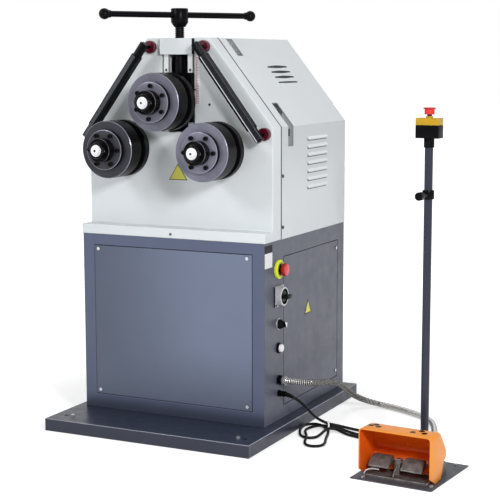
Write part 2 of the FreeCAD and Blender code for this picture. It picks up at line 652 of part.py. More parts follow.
# ---- Top slide: front flange, guided neck and the rear bearing body -------------------------------
slide_face = d.slide_front
neck = d.way_half - 0.6
slide = join(
    box((-d.slot_half + 0.5, d.slot_half - 0.5), (slide_face, face + 1.7),
        (d.slide_low, d.slide_high)),
    box((-neck, neck), (face + 1.7, wall_back + 0.3), (d.slide_low, d.slide_high)),
    box((-60, 60), (wall_back + 0.3, d.slide_back), (d.slide_low, d.top_roll_z + d.slide_drop)),
    box((d.slot_half - 1, d.slot_half + 8), (face - 4, face - 2),
        (d.top_roll_z + 34.5, d.top_roll_z + 37.5)))
name("top_slide_block", cut(
    slide,
    rod("y", (0, d.top_roll_z), d.seat_radius + gap, (slide_face - 1, d.slide_back + 1)),
    rod("z", (0, d.screw_y), 11 + gap, (d.slide_high - 25, d.slide_high + 1))))

# ---- Feed screw and its T-handle, in a frame turned about the screw's own axis -------------------
handle_turn = Rotation(Vector(0, 0, 1), d.handle_angle.value)
screw_spot = (0, d.screw_y, 0)
stem_top = d.handle_z - 16.5


def on_screw(*pieces):
    item = place(group(*pieces), screw_spot, handle_turn)
    item.setExpression("Placement.Rotation.Angle", d.handle_angle.text)
    return item


name("feed_screw", turned("z", [
    (d.slide_high - 24.7, 0), (d.slide_high - 24.7, 11), (d.slide_high + 0.3, 11),
    (d.slide_high + 0.3, d.screw_stem), (stem_top, d.screw_stem), (stem_top, 0)], screw_spot))
hub_low = d.handle_z - 37
hub = turned("z", [
    (hub_low, d.screw_stem), (hub_low, d.screw_stem + 2), (d.handle_z - 22.5, 27),
    (d.handle_z + 18, 27), (d.handle_z + 20.5, 24.5), (d.handle_z + 20.5, 0), (stem_top, 0),
    (stem_top, d.screw_stem)], (0, 0, 0))
reach = d.handle_reach
cross = rod("x", (0, d.handle_z), d.handle_bar_radius, (-reach, reach))
name("handle_hub", on_screw(cut(hub, cross)))
bar = rod("x", (0, d.handle_z), d.handle_bar_radius, (-reach, reach))
knobs = [cut(ball("x", (reach * sign, 0, d.handle_z), d.ball_radius),
             rod("x", (0, d.handle_z), d.handle_bar_radius, (-reach, reach)))
         for side, sign in SIDES]
name("handle_bar", on_screw(bar, *knobs))

# ---- Three rolls: shaft, rings, clamp hub and slotted nut -----------------------------------------
top_spot = (0, d.top_roll_z)
for title, spot in (("left", roll_spots["left"]), ("right", roll_spots["right"]),
                    ("top", top_spot)):
    x, z = spot
    seat = d.seat_radius
    if title == "top":
        shoulder = slide_face - 0.3
        tail = [(d.slide_back + 6, 0), (d.slide_back + 6, 30), (d.slide_back + 0.3, 30),
                (d.slide_back + 0.3, seat), (shoulder, seat)]
    else:
        shoulder = face - 12.3
        tail = [(d.plate_back + 1, 0), (d.plate_back + 1, 20), (d.gear_back - d.gear_face, 20),
                (d.gear_back - d.gear_face, seat), (shoulder, seat)]
    name(title + "_shaft", turned("y", tail + [
        (shoulder, seat + 7), (d.rear_ring_back, seat + 7), (d.rear_ring_back, seat),
        (d.hub_front + 6, seat), (d.hub_front + 6, 18), (d.nut_front, 18), (d.nut_front, 13.5),
        (d.shaft_front, 13.5), (d.shaft_front, 3), (d.shaft_front + 5, 0)], (x, 0, z)))
    rings = []
    for back, front, radius in ((d.rear_ring_back, d.spacer_back, d.roll_radius),
                                (d.spacer_back, d.front_ring_back, d.groove_radius),
                                (d.front_ring_back, d.ring_front, d.roll_radius)):
        rings.append(turned("y", [
            (back, seat), (back, radius - 1.5), (back - 1.5, radius), (front + 1.5, radius),
            (front, radius - 1.5), (front, seat)], (x, 0, z)))
    name(title + "_roll_rings", group(*rings))
    name(title + "_clamp_hub", turned("y", [
        (d.ring_front, seat), (d.ring_front, d.flange_radius - 2),
        (d.ring_front - 2, d.flange_radius), (d.flange_front + 2, d.flange_radius),
        (d.flange_front, d.flange_radius - 2), (d.flange_front, d.hub_radius),
        (d.hub_front + 2, d.hub_radius), (d.hub_front, d.hub_radius - 2),
        (d.hub_front, d.hub_radius - 4), (d.hub_front + 6, d.hub_radius - 4),
        (d.hub_front + 6, seat)], (x, 0, z)))
    nut = turned("y", [
        (d.hub_front + 6, 18), (d.hub_front + 6, d.nut_radius), (d.nut_front + 2, d.nut_radius),
        (d.nut_front, d.nut_radius - 2), (d.nut_front, 18)], (x, 0, z))
    low, high = d.nut_radius - 3, d.nut_radius + 1
    notch_y = (d.nut_front - 1, d.hub_front - 2)
    name(title + "_lock_nut", cut(
        nut, box((x - 3, x + 3), notch_y, (z + low, z + high)),
        box((x - 3, x + 3), notch_y, (z - high, z - low)),
        box((x + low, x + high), notch_y, (z - 3, z + 3)),
        box((x - high, x - low), notch_y, (z - 3, z + 3))))

# ---- Gears: a webbed wheel on each lower shaft, at pitch size, driven by one pinion --------------
gear_front = d.gear_back - d.gear_face
web = (d.gear_back - 13, gear_front + 13)
wheel_radius = d.gear_radius - 0.2
for side, sign in SIDES:
    x, z = roll_spots[side]
    name(side + "_gear", turned("y", [
        (d.gear_back, 20), (d.gear_back, 34), (web[0], 34), (web[0], wheel_radius - 18),
        (d.gear_back, wheel_radius - 18), (d.gear_back, wheel_radius), (gear_front, wheel_radius),
        (gear_front, wheel_radius - 18), (web[1], wheel_radius - 18), (web[1], 34),
        (gear_front, 34), (gear_front, 20)], (x, 0, z)))
name("pinion_shaft", turned("y", [
    (gear_front, 0), (gear_front, d.pinion_radius - 0.2), (d.gear_back, d.pinion_radius - 0.2),
    (d.gear_back, 20), (d.plate_front - 4.3, 20), (d.plate_front - 4.3, 15),
    (d.plate_back - 0.4, 15), (d.plate_back - 0.4, 14), (d.plate_back + 100, 14),
    (d.plate_back + 100, 0)], (0, 0, pinion_z)))

# ---- Controls on the cabinet's right side --------------------------------------------------------
skin = half_width


def control(points, height):
    """A piece turned about a control's axis: points are (distance out from the skin, radius)."""
    return turned("x", [(skin + out, radius) for out, radius in points],
                  (0, d.panel_y, height))


name("estop_collar", control([
    (-29, 0), (-29, 18), (-3, 18), (-3, 16), (0, 16), (0, 30), (6, 30), (9, 26), (9, 12),
    (-26, 12), (-26, 0)], d.stop_z))
name("estop_button", control([
    (-20, 0), (-20, 12 - gap), (14.5, 12 - gap), (16, 17), (20, 20), (25, 20), (29, 14), (30, 0)],
    d.stop_z))
switch_low, switch_high = d.switch_z - 32, d.switch_z + 32
switch_plate = box((skin, skin + 4), (d.panel_y - 32, d.panel_y + 32), (switch_low, switch_high))
switch_ring = control([(3, 10 + gap), (3, 32), (20, 30), (22, 28), (22, 25), (11, 21),
                       (11, 10 + gap)], d.switch_z)
switch_back = cut(
    join(box((skin - 43, skin - 3), (d.panel_y - 25, d.panel_y + 25),
             (d.switch_z - 28, d.switch_z + 28)),
         rod("x", (d.panel_y, d.switch_z), 14, (skin - 4, skin + 1))),
    rod("x", (d.panel_y, d.switch_z), 10 + gap, (skin - 15, skin + 2)))
plate_bore = rod("x", (d.panel_y, d.switch_z), 10 + gap, (skin - 1, skin + 5))
name("main_switch_plate", join(cut(switch_plate, plate_bore), switch_ring, switch_back))
name("main_switch_knob", join(
    control([(-14, 0), (-14, 10), (11.4, 10), (11.4, 18), (20, 18), (20, 0)], d.switch_z),
    box((skin + 19, skin + 40), (d.panel_y - 17, d.panel_y + 17),
        (d.switch_z - 5.5, d.switch_z + 5.5))))
selector_bezel = control([
    (-20, 0), (-20, 13), (-3, 13), (-3, 11), (0, 11), (0, 15.5), (6, 15.5), (20, 10), (20, 5 + gap),
    (-16, 5 + gap), (-16, 0)], d.selector_z)
start_bezel = control([
    (-24, 0), (-24, 16), (-3, 16), (-3, 13.5), (0, 13.5), (0, 17), (5, 17), (7, 15), (7, 12.5),
    (-21, 12.5), (-21, 0)], d.start_z)
name("button_bezels", group(selector_bezel, start_bezel))
name("selector_knob", join(
    control([(-15.7, 0), (-15.7, 5), (20.3, 5), (20.3, 8), (24, 8), (24, 0)], d.selector_z),
    box((skin + 23, skin + 29), (d.panel_y - 2.5, d.panel_y + 2.5),
        (d.selector_z - 8, d.selector_z + 8))))
name("start_button", control([
    (-16, 0), (-16, 12.5 - gap), (13, 12.5 - gap), (15, 10.5), (15, 0)], d.start_z))
hose_radius = d.hose_diameter / 2
cord_radius = d.cord_diameter / 2
hose_gland = join(
    hexagon("x", (d.panel_y, d.hose_z), 15, (skin - 9, skin - 3)),
    rod("x", (d.panel_y, d.hose_z), 10, (skin - 4, skin + 1)),
    hexagon("x", (d.panel_y, d.hose_z), 16, (skin, skin + 12)),
    rod("x", (d.panel_y, d.hose_z), hose_radius + 4, (skin + 11, skin + 27)))
cord_gland = join(
    hexagon("x", (d.panel_y, d.cord_z), 10.5, (skin - 8, skin - 3)),
    rod("x", (d.panel_y, d.cord_z), 7, (skin - 4, skin + 1)),
    hexagon("x", (d.panel_y, d.cord_z), 11, (skin, skin + 8)),
    rod("x", (d.panel_y, d.cord_z), cord_radius + 4.5, (skin + 7, skin + 25)))
name("cable_glands", group(hose_gland, cord_gland))
name("cover_screws", group(*screws))

# ---- Foot switch and pendant post: u to the right, v to the back, in a frame of their own --------
post_turn = Rotation(Vector(0, 0, 1), d.post_turn.value)


def on_post(piece):
    item = group(piece)
    place(item, (d.post_x, d.post_y, 0), Rotation(Vector(0, 0, -1), -d.post_turn.value))
    item.setExpression("Placement.Rotation.Angle", (-d.post_turn).text)
    return item


def post_point(u, v, z):
    u, v = as_size(u).value, as_size(v).value
    turned_spot = post_turn.multVec(Vector(u, v, 0))
    return Vector(d.post_x.value, d.post_y.value, as_size(z).value) + turned_spot


deck = d.floor_sheet
pole = (d.pole_u, d.pole_v)
name("floor_plate", on_post(box((-d.floor_width / 2, d.floor_width / 2),
                                (-d.floor_depth / 2, d.floor_depth / 2), (0, deck))))
tube = join(rod("z", pole, d.pole_radius, (deck, d.pole_high)),
            rod("z", pole, d.pole_radius + 12, (deck, deck + 5)))
name("pedestal_pole", on_post(cut(tube, rod("z", pole, d.pole_radius - 2.5,
                                            (deck + 5, d.pole_high + 1)))))
peg_z = 787
clamp = cut(rod("z", pole, d.pole_radius + 3.5, (peg_z - 10, peg_z + 10)),
            rod("z", pole, d.pole_radius, (peg_z - 11, peg_z + 11)))
grip_v = d.pole_v - d.pole_radius
name("pole_grip", on_post(join(
    clamp,
    rod("y", (d.pole_u, peg_z), 8, (grip_v - 38, grip_v - 2)),
    turned("y", [(grip_v - 58, 0), (grip_v - 58, 10), (grip_v - 56, 12), (grip_v - 38, 12),
                 (grip_v - 36, 10), (grip_v - 36, 0)], (d.pole_u, 0, peg_z)))))
case_low = d.pole_high + 2
case_high = case_low + 37
pendant_u = (d.pole_u - 35, d.pole_u + 35)
pendant_v = (d.pole_v - 19, d.pole_v + 19)
hollow_u = (pendant_u[0] + 2.5, pendant_u[1] - 2.5)
hollow_v = (pendant_v[0] + 2.5, pendant_v[1] - 2.5)
sleeve = cut(rod("z", pole, d.pole_radius + 3, (case_low - 26, case_low)),
             rod("z", pole, d.pole_radius, (case_low - 27, d.pole_high)))
case = cut(box(pendant_u, pendant_v, (case_low, case_high)),
           box(hollow_u, hollow_v, (case_low + 3, case_high + 1)))
name("pendant_box", on_post(join(case, sleeve)))
lid_high = case_high + 20.5
lid = join(box(pendant_u, pendant_v, (case_high, lid_high)),
           rod("z", pole, 10, (lid_high, lid_high + 5)))
name("pendant_lid", on_post(cut(lid, rod("z", pole, 7 + gap, (case_high - 1, lid_high + 6)))))
cap_low = lid_high + 9.5
name("pendant_estop_button", on_post(turned("z", [
    (case_high + 6, 0), (case_high + 6, 7), (cap_low, 7), (cap_low, 14.5), (cap_low + 16, 14.5),
    (cap_low + 16, 19), (cap_low + 18.5, 19), (cap_low + 20, 16), (cap_low + 20, 0)],
    (d.pole_u, d.pole_v, 0))))

foot = d.foot_half
skin_in = d.foot_sheet
top = d.foot_high
hood_profile = [(-112, 25), (-112, top), (-37, top), (4.5, 88), (10, 62), (-10, 50), (-28, deck),
                (-76, deck)]
hood_inside = [(-125, -10), (-125, top - skin_in), (-38.8, top - skin_in), (0.8, 86.3),
               (5.6, 64.8), (-13.2, 53.4), (-32.3, deck), (-32.3, -10)]
cover = cut(plate("yz", hood_profile, (-foot, foot)),
            plate("yz", hood_inside, (-foot + skin_in, foot - skin_in)),
            box((-102, 97), (-45, -15), (0, 9.4)))
name("foot_hood", on_post(cover))
base_top = deck + 4
switch_block = plate("yz", [(-27.6, deck), (38, deck), (38, 36), (19, 46), (-11.2, 46)],
                     (-95, 95))
pin_spot = (-43, 42)
lug_plate = [(-62, base_top - 1), (-30, base_top - 1), (-34, 50), (-52, 50)]
strap = [(-104, base_top - 1), (-104, 16), (-97, 27), (-72, 40), (-50, 46), (-50, 42), (-70, 36),
         (-93.5, 23.5), (-100, 15), (-100, base_top - 1)]
name("foot_base", on_post(join(
    box((-99, 94), (-104, -20), (deck, base_top)),
    box((-87, 92), (-107, -103), (deck, deck + 7)),
    switch_block,
    plate("yz", lug_plate, (-24, -7)),
    plate("yz", strap, (-8, -4)),
    rod("x", pin_spot, d.pedal_pin_radius, (-94, 72)),
    rod("y", (44, 27), hose_radius + 3, (38, 50)))))
pedal_profile = [(-83, 28), (-83, 32), (-68, 49), (-52, 57), (-40, 56), (-33, 49), (-33, 38),
                 (-39, 34), (-60, 30)]
for side, span in (("left", (-93, -29)), ("right", (6, 71))):
    tread = plate("yz", pedal_profile, span)
    pin_bore = rod("x", pin_spot, d.pedal_pin_radius + gap, (span[0] - 1, span[1] + 1))
    name(side + "_pedal", on_post(cut(tread, pin_bore)))


# ---- Hose and mains cord: straight runs joined by tangent arcs ------------------------------------
def rounded_tube(label, points, radius):
    """A solid tube along a route, and what its bends come to."""
    points = [Vector(*spot) for spot in points]
    edges = []
    start = points[0]
    bends = []
    for before, corner, after in zip(points, points[1:], points[2:]):
        inward = (corner - before).normalize()
        outward = (after - corner).normalize()
        turn = inward.getAngle(outward)
        reach = 0.45 * min((corner - before).Length, (after - corner).Length)
        bends.append(reach / math.tan(turn / 2))
        arc_start = corner - inward * reach
        arc_end = corner + outward * reach
        bow = bends[-1] / math.cos(turn / 2) - bends[-1]
        middle = corner + (outward - inward).normalize() * bow
        edges.append(Part.LineSegment(start, arc_start).toShape())
        edges.append(Part.Arc(arc_start, middle, arc_end).toShape())
        start = arc_end
    edges.append(Part.LineSegment(start, points[-1]).toShape())
    path = Part.Wire(edges)
    circle = Part.makeCircle(radius, points[0], (points[1] - points[0]).normalize())
    item = doc.addObject("Part::Feature", "Tube")
    item.Shape = path.makePipeShell([Part.Wire([circle])], True, False)
    ratio = item.Shape.Volume / (math.pi * radius * radius * path.Length)
    report = " ".join("%.0f" % bend for bend in bends)
    print("%s: length %.1f, volume ratio %.4f, radii %s" % (label, path.Length, ratio, report))
    return name(label, item)


gland_x = half_width.value - 325
gland_y = d.panel_y.value + 218
hose_end = post_point(44, 50, 27)
hose_route = [
    (352, -218, d.hose_z.value), (388, -213, 170), (418, -195, 167), (437, -163, 161),
    (443, -100, 150), (444, -30, 136), (440, 42, 105), (431, 108, 72), (436, 158, 45),
    (461, 193, 24), (509, 213, 11), (582, 190, 10.5), (677, 136, 10.5), (720, 96, 10.5),
    (757, 30, 10.5)]
hose_tail = [(-102.1, 336.3, 10.5), (-75.1, 256.3, 10.5), (-45.1, 181.3, 11),
             (-18.9, 116.3, 17), (-1.9, 56.3, 24), tuple(hose_end - hose_end)]
hose_points = [(x + gland_x, y + gland_y, z) for x, y, z in hose_route]
hose_points += [(hose_end.x + x, hose_end.y + y, z) for x, y, z in hose_tail[:-1]]
hose_points.append(tuple(hose_end))
rounded_tube("conduit_hose", hose_points, hose_radius.value)

lead_route = [
    (350, -218, d.cord_z.value), (379, -217, 124), (402, -201, 107), (413, -170, 78),
    (420, -142, 50), (432, -118, 26), (458, -108, 17)]
lead_points = [(x + gland_x, y + gland_y, z) for x, y, z in lead_route]
rounded_tube("mains_lead", lead_points, cord_radius.value)
tail_route = [(468, -134, 8), (494, -142, 5), (528, -159, 5), (564, -169, 5), (598, -181, 5),
              (632, -204.4, 5), (655, -236, 9)]
tail_points = [(x + gland_x, y + gland_y, z) for x, y, z in tail_route]
rounded_tube("mains_tail", tail_points, cord_radius.value)

# The tied hank is one closed solid of the coil's outer shape, laid flat on the floor.
hank_corners = [
    (455, -98), (431, -107), (408, -80), (392, -67), (379, -69), (374, -80), (373, -117),
    (374, -163), (387, -204), (415, -249), (437, -261), (449, -292), (462, -318), (483, -331),
    (505, -322), (517, -298), (498, -238), (491, -205), (480, -165), (478, -140), (500, -131),
    (537, -143), (575, -152), (610, -168), (645, -174), (668, -162), (676, -140), (668, -118),
    (640, -108), (590, -104), (548, -99), (512, -82), (480, -79), (464, -88)]
hank_points = [(x + gland_x, y + gland_y) for x, y in hank_corners]
tie_spot = (457 + gland_x, gland_y - 122)
name("cord_hank", join(plate("xy", hank_points, (0.5, 14)), box(
    (tie_spot[0] - 15, tie_spot[0] + 15), (tie_spot[1] - 17, tie_spot[1] + 17), (0.5, 25))))
plug_spot = Vector(*tail_points[-1])
plug_way = Rotation(Vector(0, 0, 1), -54)
plug_body = join(rod("x", (0, 0), 9, (0, 14)), box((12, 46), (-18, 18), (-8.8, 14)),
                 *[rod("x", (y, 3), 2.4, (45, 64)) for y in (-9.5, 9.5)])
plug_body.Placement = Placement(plug_spot, plug_way)
name("mains_plug", plug_body)

# ---- Check and write ---------------------------------------------------------------------------
doc.recompute()
for item in doc.Objects:
    if "Invalid" in item.State or "Error" in item.State:
        raise RuntimeError("%s (%s) failed: %s" % (item.Name, item.Label, item.State))
for label, item in named.items():
    if item.Shape.isNull() or not item.Shape.isValid() or not item.Shape.Solids:
        raise RuntimeError(label + " has no valid shape")
for label, item in named.items():
    item.Shape.exportStep("parts/" + label + ".step")
print("%d sub-parts written" % len(named))
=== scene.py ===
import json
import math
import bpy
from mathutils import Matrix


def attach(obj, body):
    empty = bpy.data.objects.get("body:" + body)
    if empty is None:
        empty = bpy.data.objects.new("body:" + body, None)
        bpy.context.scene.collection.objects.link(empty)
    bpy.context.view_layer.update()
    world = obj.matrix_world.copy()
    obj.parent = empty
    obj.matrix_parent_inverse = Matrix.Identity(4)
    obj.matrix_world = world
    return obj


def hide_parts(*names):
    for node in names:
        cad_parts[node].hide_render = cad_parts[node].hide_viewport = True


bl_info = {
    "name": "Ring Roller",
    "version": (1, 0, 0),
    "blender": (4, 5, 0),
    "location": "View3D > Sidebar > Ring Roller",
    "description": "Dresses the ring roller's frame with finishes, cords and small parts",
    "category": "Object",
}

import bmesh
import bpy
from bpy.props import FloatProperty, FloatVectorProperty, IntProperty, PointerProperty
from mathutils import Matrix, Vector

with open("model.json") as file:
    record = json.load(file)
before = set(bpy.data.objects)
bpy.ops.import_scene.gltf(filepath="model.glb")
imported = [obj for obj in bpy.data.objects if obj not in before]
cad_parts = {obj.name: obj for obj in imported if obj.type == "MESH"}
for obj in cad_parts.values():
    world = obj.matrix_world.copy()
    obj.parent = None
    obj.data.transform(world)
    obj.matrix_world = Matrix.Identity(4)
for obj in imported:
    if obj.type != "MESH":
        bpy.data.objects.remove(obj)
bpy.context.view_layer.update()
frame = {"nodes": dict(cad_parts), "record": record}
MM = 0.001
SLOT_OF = {part["node"]: part["material_slot"] for part in frame["record"]["subparts"]}
BODY_OF = {
    node: body
    for body, nodes in frame["record"]["behaviour"]["bodies"].items()
    for node in nodes
}
POST = Matrix.Translation((0.839, -0.4325, 0)) @ Matrix.Rotation(math.radians(-4.7), 4, "Z")
ROLL_CENTRES = {"left": (-166, 893.5), "right": (166, 893.5), "top": (0, 1041)}
# Painted light and shade: how light each roll's face colour is painted, one level for each roll.
ROLL_PAINTED_LIGHT_LEVELS = {"left": 0.2, "top": 0.72, "right": 0.95}
STOP_CENTRE, SELECTOR_CENTRE, HOSE_CENTRE = (-218, 523), (-218, 350), (-218, 171)
SWITCH_CENTRE = (-218, 439)
PENDANT_CENTRE = (-4, 108)
SCREW_LINE, BAR_HEIGHT, BAR_TURN = -249.5, 1306.5, 56.9
SLOPE_X, SLOPE_Z = 0.62399, 0.78143
RAIL_X, RAIL_Z, RIDGE_PITCH = 0.60078, 0.79941, 0.0043
THREAD_LOW, THREAD_HIGH, THREAD_STEPS = 1129.3, 1290.0, 40
# One turn of the thread: how far along its pitch, and the radius there.
THREAD_FORM = ((0, 12.9), (0.12, 12.9), (0.42, 15), (0.58, 15), (0.88, 12.9), (1, 12.9))
SHOULDER = (328, 963)
FOLD_SHARE = 0.7
# A roll's rings in millimetres, each (back, front, radius), and the rounding of their edges.
ROLL_RINGS, ROLL_LIP = ((-312, -335, 89), (-335, -362, 66), (-362, -421.7, 89)), 1.4
# Front faces behind this y keep the dark band, as painted shade.
BAND_START = -0.41
SCALE_EDGE = (0.0656, -0.265)

# The hose's route in millimetres, from its gland to the foot switch.
HOSE_ROUTE = [
    (352, -218, 171), (388, -213, 170), (418, -195, 167), (437, -163, 161), (443, -100, 150),
    (444, -30, 136), (440, 42, 105), (431, 108, 72), (436, 158, 45), (461, 193, 24),
    (509, 213, 11), (582, 190, 10.5), (677, 136, 10.5), (720, 96, 10.5), (757, 30, 10.5),
    (785, -50, 10.5), (812, -130, 10.5), (842, -205, 11), (868, -270, 17), (885, -330, 24),
    (886.9, -386.3, 27),
]
SLIT_SPAN = (6, 152)
LARGEST_SMOOTH = 0.003
TOOL_MARKS = 1500.0
RIB_RADIUS, GROOVE_RADIUS, CORD_RADIUS = 0.0100, 0.0085, 0.0045
LOUVRES = (924, 26)
RECESS_AREA, RECESS_SPAN, HOOD_SIDE = 0.011, (-0.158, -0.108), 0.3283
HEAD_OUTLINE = [(-328, 616), (-328, 963), (-110, 1236), (110, 1236), (328, 963), (328, 616)]
# The mains cord's route in millimetres, from its gland to the plug.
CORD_ROUTE = [
    (350, -218, 128), (375, -217, 122), (397, -203, 103), (409, -173, 74), (417, -146, 47),
    (431, -124, 29), (452, -114, 19), (480, -99, 12), (512, -92, 6), (548, -99, 5),
    (590, -107, 5), (626, -109, 5), (652, -109, 5), (669, -126, 5), (669, -150, 5),
    (652, -167, 5), (626, -165, 5), (598, -156, 5), (566, -144, 5), (536, -136, 6),
    (508, -127, 9), (482, -123, 13), (454, -124, 14.5), (430, -124, 12.5), (416, -124, 10),
    (401, -134, 6), (395, -151, 5), (399, -176, 5), (412, -204, 8), (425, -230, 12.5),
    (437, -253, 14.5), (447, -280, 11), (454, -308, 6), (471, -325, 5), (495, -325, 5),
    (512, -308, 5), (511, -280, 5), (501, -252, 5), (492, -226, 5), (484, -196, 5),
    (474, -166, 5), (463, -140, 5), (446, -119, 5), (430, -105, 5), (412, -89, 5),
    (388, -90, 5), (372, -108, 5), (372, -134, 5), (377, -165, 5), (391, -200, 5),
    (406, -230, 5), (426, -247, 5), (447, -246, 5), (462, -232, 6), (465, -206, 8.5),
    (465, -180, 12), (465, -160, 14), (475, -145, 14), (492, -139, 11), (514, -149, 7),
    (540, -162, 5), (564, -169, 5), (598, -181, 5), (632, -204.4, 5), (655, -236, 9),
]


def srgb(red, green, blue):
    """A colour written in 0-255 display values, as the shader wants it."""
    def linear(value):
        value /= 255
        return value / 12.92 if value <= 0.04045 else ((value + 0.055) / 1.055) ** 2.4

    return (linear(red), linear(green), linear(blue), 1.0)


def shade_of(colour, factor):
    return tuple(min(1.0, part * factor) for part in colour[:3]) + (1.0,)


def with_values(thing, values):
    """The same thing with several of its properties set."""
    for key, value in values.items():
        setattr(thing, key, value)
    return thing


def placed(name, data, **values):
    """A new object in the scene that shows the data."""
    made = with_values(bpy.data.objects.new(name, data), values)
    bpy.context.scene.collection.objects.link(made)
    return made


# ---- Finishes ------------------------------------------------------------------------------


class Tree:
    """Adds nodes to a node tree and joins them up."""

    def __init__(self, tree):
        self.tree = tree

    def node(self, kind, sources=None, **settings):
        made = with_values(self.tree.nodes.new(kind), settings)
        for key, value in (sources or {}).items():
            socket = made.inputs[key]
            if isinstance(value, bpy.types.NodeSocket):
                self.tree.links.new(value, socket)
            else:
                socket.default_value = value
        return made

    def number(self, operation, *parts):
        return self.node("ShaderNodeMath", dict(enumerate(parts)),
                         operation=operation).outputs[0]

    def seen_directly(self):
        """One for rays from the lens or off metal and glass, else nought."""
        sight = self.node("ShaderNodeLightPath")
        seen = sight.outputs["Is Camera Ray"]
        for ray in ("Is Glossy Ray", "Is Transmission Ray"):
            seen = self.number("MAXIMUM", seen, sight.outputs[ray])
        return seen


class Finish(Tree):
    """A small builder for one procedural finish."""

    def __init__(self, name, centre=(0, 0, 0)):
        self.material = bpy.data.materials.new(name)
        self.material.use_nodes = True
        super().__init__(self.material.node_tree)
        self.shader = self.tree.nodes["Principled BSDF"]
        place = self.node("ShaderNodeTexCoord")
        self.spot = self.node("ShaderNodeMapping", {
            "Vector": place.outputs["Object"],
            "Location": [-part * MM for part in centre]}).outputs["Vector"]

    def noise(self, scale, detail=3.0, vector=None, rough=0.5):
        return self.node("ShaderNodeTexNoise", {
            "Vector": vector or self.spot, "Scale": scale, "Detail": detail,
            "Roughness": rough}).outputs["Fac"]

    def vector(self, operation, *parts, output=0):
        return self.node("ShaderNodeVectorMath", dict(enumerate(parts)),
                         operation=operation).outputs[output]

    def spread(self, value, low, high, start=0.3, end=0.7, **settings):
        return self.node("ShaderNodeMapRange", {
            "Value": value, "From Min": start, "From Max": end, "To Min": low,
            "To Max": high}, **settings).outputs["Result"]

    def mix(self, factor, first, second):
        return self.node("ShaderNodeMix", {0: factor, 6: first, 7: second},
                         data_type="RGBA").outputs[2]

    def tone(self, noise, colour, low, high, start=0.3, end=0.7):
        """A colour that drifts between two of its shades."""
        return self.mix(self.spread(noise, 0, 1, start, end), shade_of(colour, low),
                        shade_of(colour, high))

    def close(self, colour, rough, bump, metal=0.0, gloss=0.5):
        """Joins up the shader: rough is (value, low, high), bump is (height, strength, depth)."""
        raised = self.node("ShaderNodeBump", dict(zip(
            ("Height", "Strength", "Distance"), bump)))
        for socket, value in (("Base Color", colour), ("Roughness", self.spread(*rough)),
                              ("Normal", raised.outputs["Normal"])):
            self.tree.links.new(value, self.shader.inputs[socket])
        self.shader.inputs["Metallic"].default_value = metal
        self.shader.inputs["Specular IOR Level"].default_value = gloss
        return self.material


def coat(name, colour, rough=0.42, grain=900.0, bump=0.12, drift=0.05, gloss=0.35,
         painted_shading=()):
    """Sprayed or powder-coated metal: fine orange peel, slight drift in tone, dusty patches.

    Each entry of the last argument is (axis, full at, gone at, factor): painted light or shade, a
    soft change of tone along an axis.
    """
    finish = Finish(name)
    tone = finish.tone(finish.noise(3.5, 4.0), colour, 1 - drift, 1 + drift)
    parts = finish.node("ShaderNodeSeparateXYZ", {0: finish.spot})
    for axis, full, gone, factor in painted_shading:
        amount = finish.spread(parts.outputs[axis], 1.0, 0.0, full, gone,
                               interpolation_type="SMOOTHSTEP")
        tone = finish.mix(amount, tone, shade_of(colour, factor))
    return finish.close(tone, (finish.noise(26.0, 5.0), rough - 0.06, rough + 0.08),
                        (finish.noise(grain, 2.0), bump, 0.0002), gloss=gloss)


def moulded(name, colour, rough=0.4, gloss=0.4):
    """Injection-moulded plastic with a light texture."""
    finish = Finish(name)
    return finish.close(finish.tone(finish.noise(60.0), colour, 0.94, 1.05),
                        (finish.noise(140.0, 4.0), rough - 0.05, rough + 0.07),
                        (finish.noise(2200.0, 1.0), 0.15, 0.00012), gloss=gloss)


def turned_metal(name, colour, centre=(0, 0, 0), axis="Y", rough=0.34, metal=0.9, gloss=0.5):
    """Lathe-turned metal: tool marks run round the piece's own axis."""
    finish = Finish(name, centre)
    flat = finish.vector("MULTIPLY", finish.spot, [float(axis != other) for other in "XYZ"])
    radius = finish.vector("LENGTH", flat, output="Value")
    ring = finish.node("ShaderNodeTexNoise", {
        "W": finish.number("MULTIPLY", radius, TOOL_MARKS), "Scale": 1.0, "Detail": 3.0},
        noise_dimensions="1D").outputs["Fac"]
    return finish.close(finish.tone(finish.noise(34.0, 5.0), colour, 0.86, 1.14),
                        (ring, rough - 0.07, rough + 0.1), (ring, 0.3, 0.00015), metal, gloss)


def cast_metal(name, colour, rough=0.55):
    """Sand-cast iron with worn, slightly brighter high spots."""
    finish = Finish(name)
    lumps = finish.noise(420.0, 6.0, rough=0.65)
    return finish.close(finish.tone(finish.noise(55.0, 5.0), colour, 0.7, 1.45, 0.38, 0.66),
                        (lumps, rough - 0.1, rough + 0.14), (lumps, 0.5, 0.0006), 0.35)


def ground_steel(name, colour, rough=0.25, metal=1.0):
    """Bright ground steel, brushed along its length."""
    finish = Finish(name)
    long_way = finish.vector("MULTIPLY", finish.spot, (1.0, 1.0, 0.04))
    grain = finish.noise(2600.0, 3.0, vector=long_way)
    return finish.close(finish.tone(grain, colour, 0.85, 1.1),
                        (grain, rough - 0.06, rough + 0.12), (grain, 0.2, 0.0001), metal)


def rubber(name, colour, rough=0.6):
    """Soft black jacket with a fine matt skin and dust in it."""
    finish = Finish(name)
    return finish.close(finish.tone(finish.noise(80.0, 4.0), colour, 1, 1.7, 0.45, 0.75),
                        (finish.noise(300.0), rough - 0.08, rough + 0.1),
                        (finish.noise(3000.0, 1.0), 0.2, 0.0001), gloss=0.14)


def wall_paint(name, colour):
    """Pale studio floor: near white to the lens, and an ordinary surface to everything else."""
    finish = Finish(name)
    finish.tree.links.new(finish.tone(finish.noise(1.2), colour, 0.995, 1),
                          finish.shader.inputs["Base Color"])
    finish.shader.inputs["Roughness"].default_value = 0.9
    away = finish.vector("LENGTH", finish.spot, output="Value")
    lift = finish.number("MULTIPLY", finish.seen_directly(),
                         finish.spread(away, 0.42, 0.9, 0.6, 1.8))
    finish.shader.inputs["Emission Color"].default_value = (1, 1, 1, 1)
    finish.tree.links.new(lift, finish.shader.inputs["Emission Strength"])
    return finish.material


# ---- Shapes --------------------------------------------------------------------------------


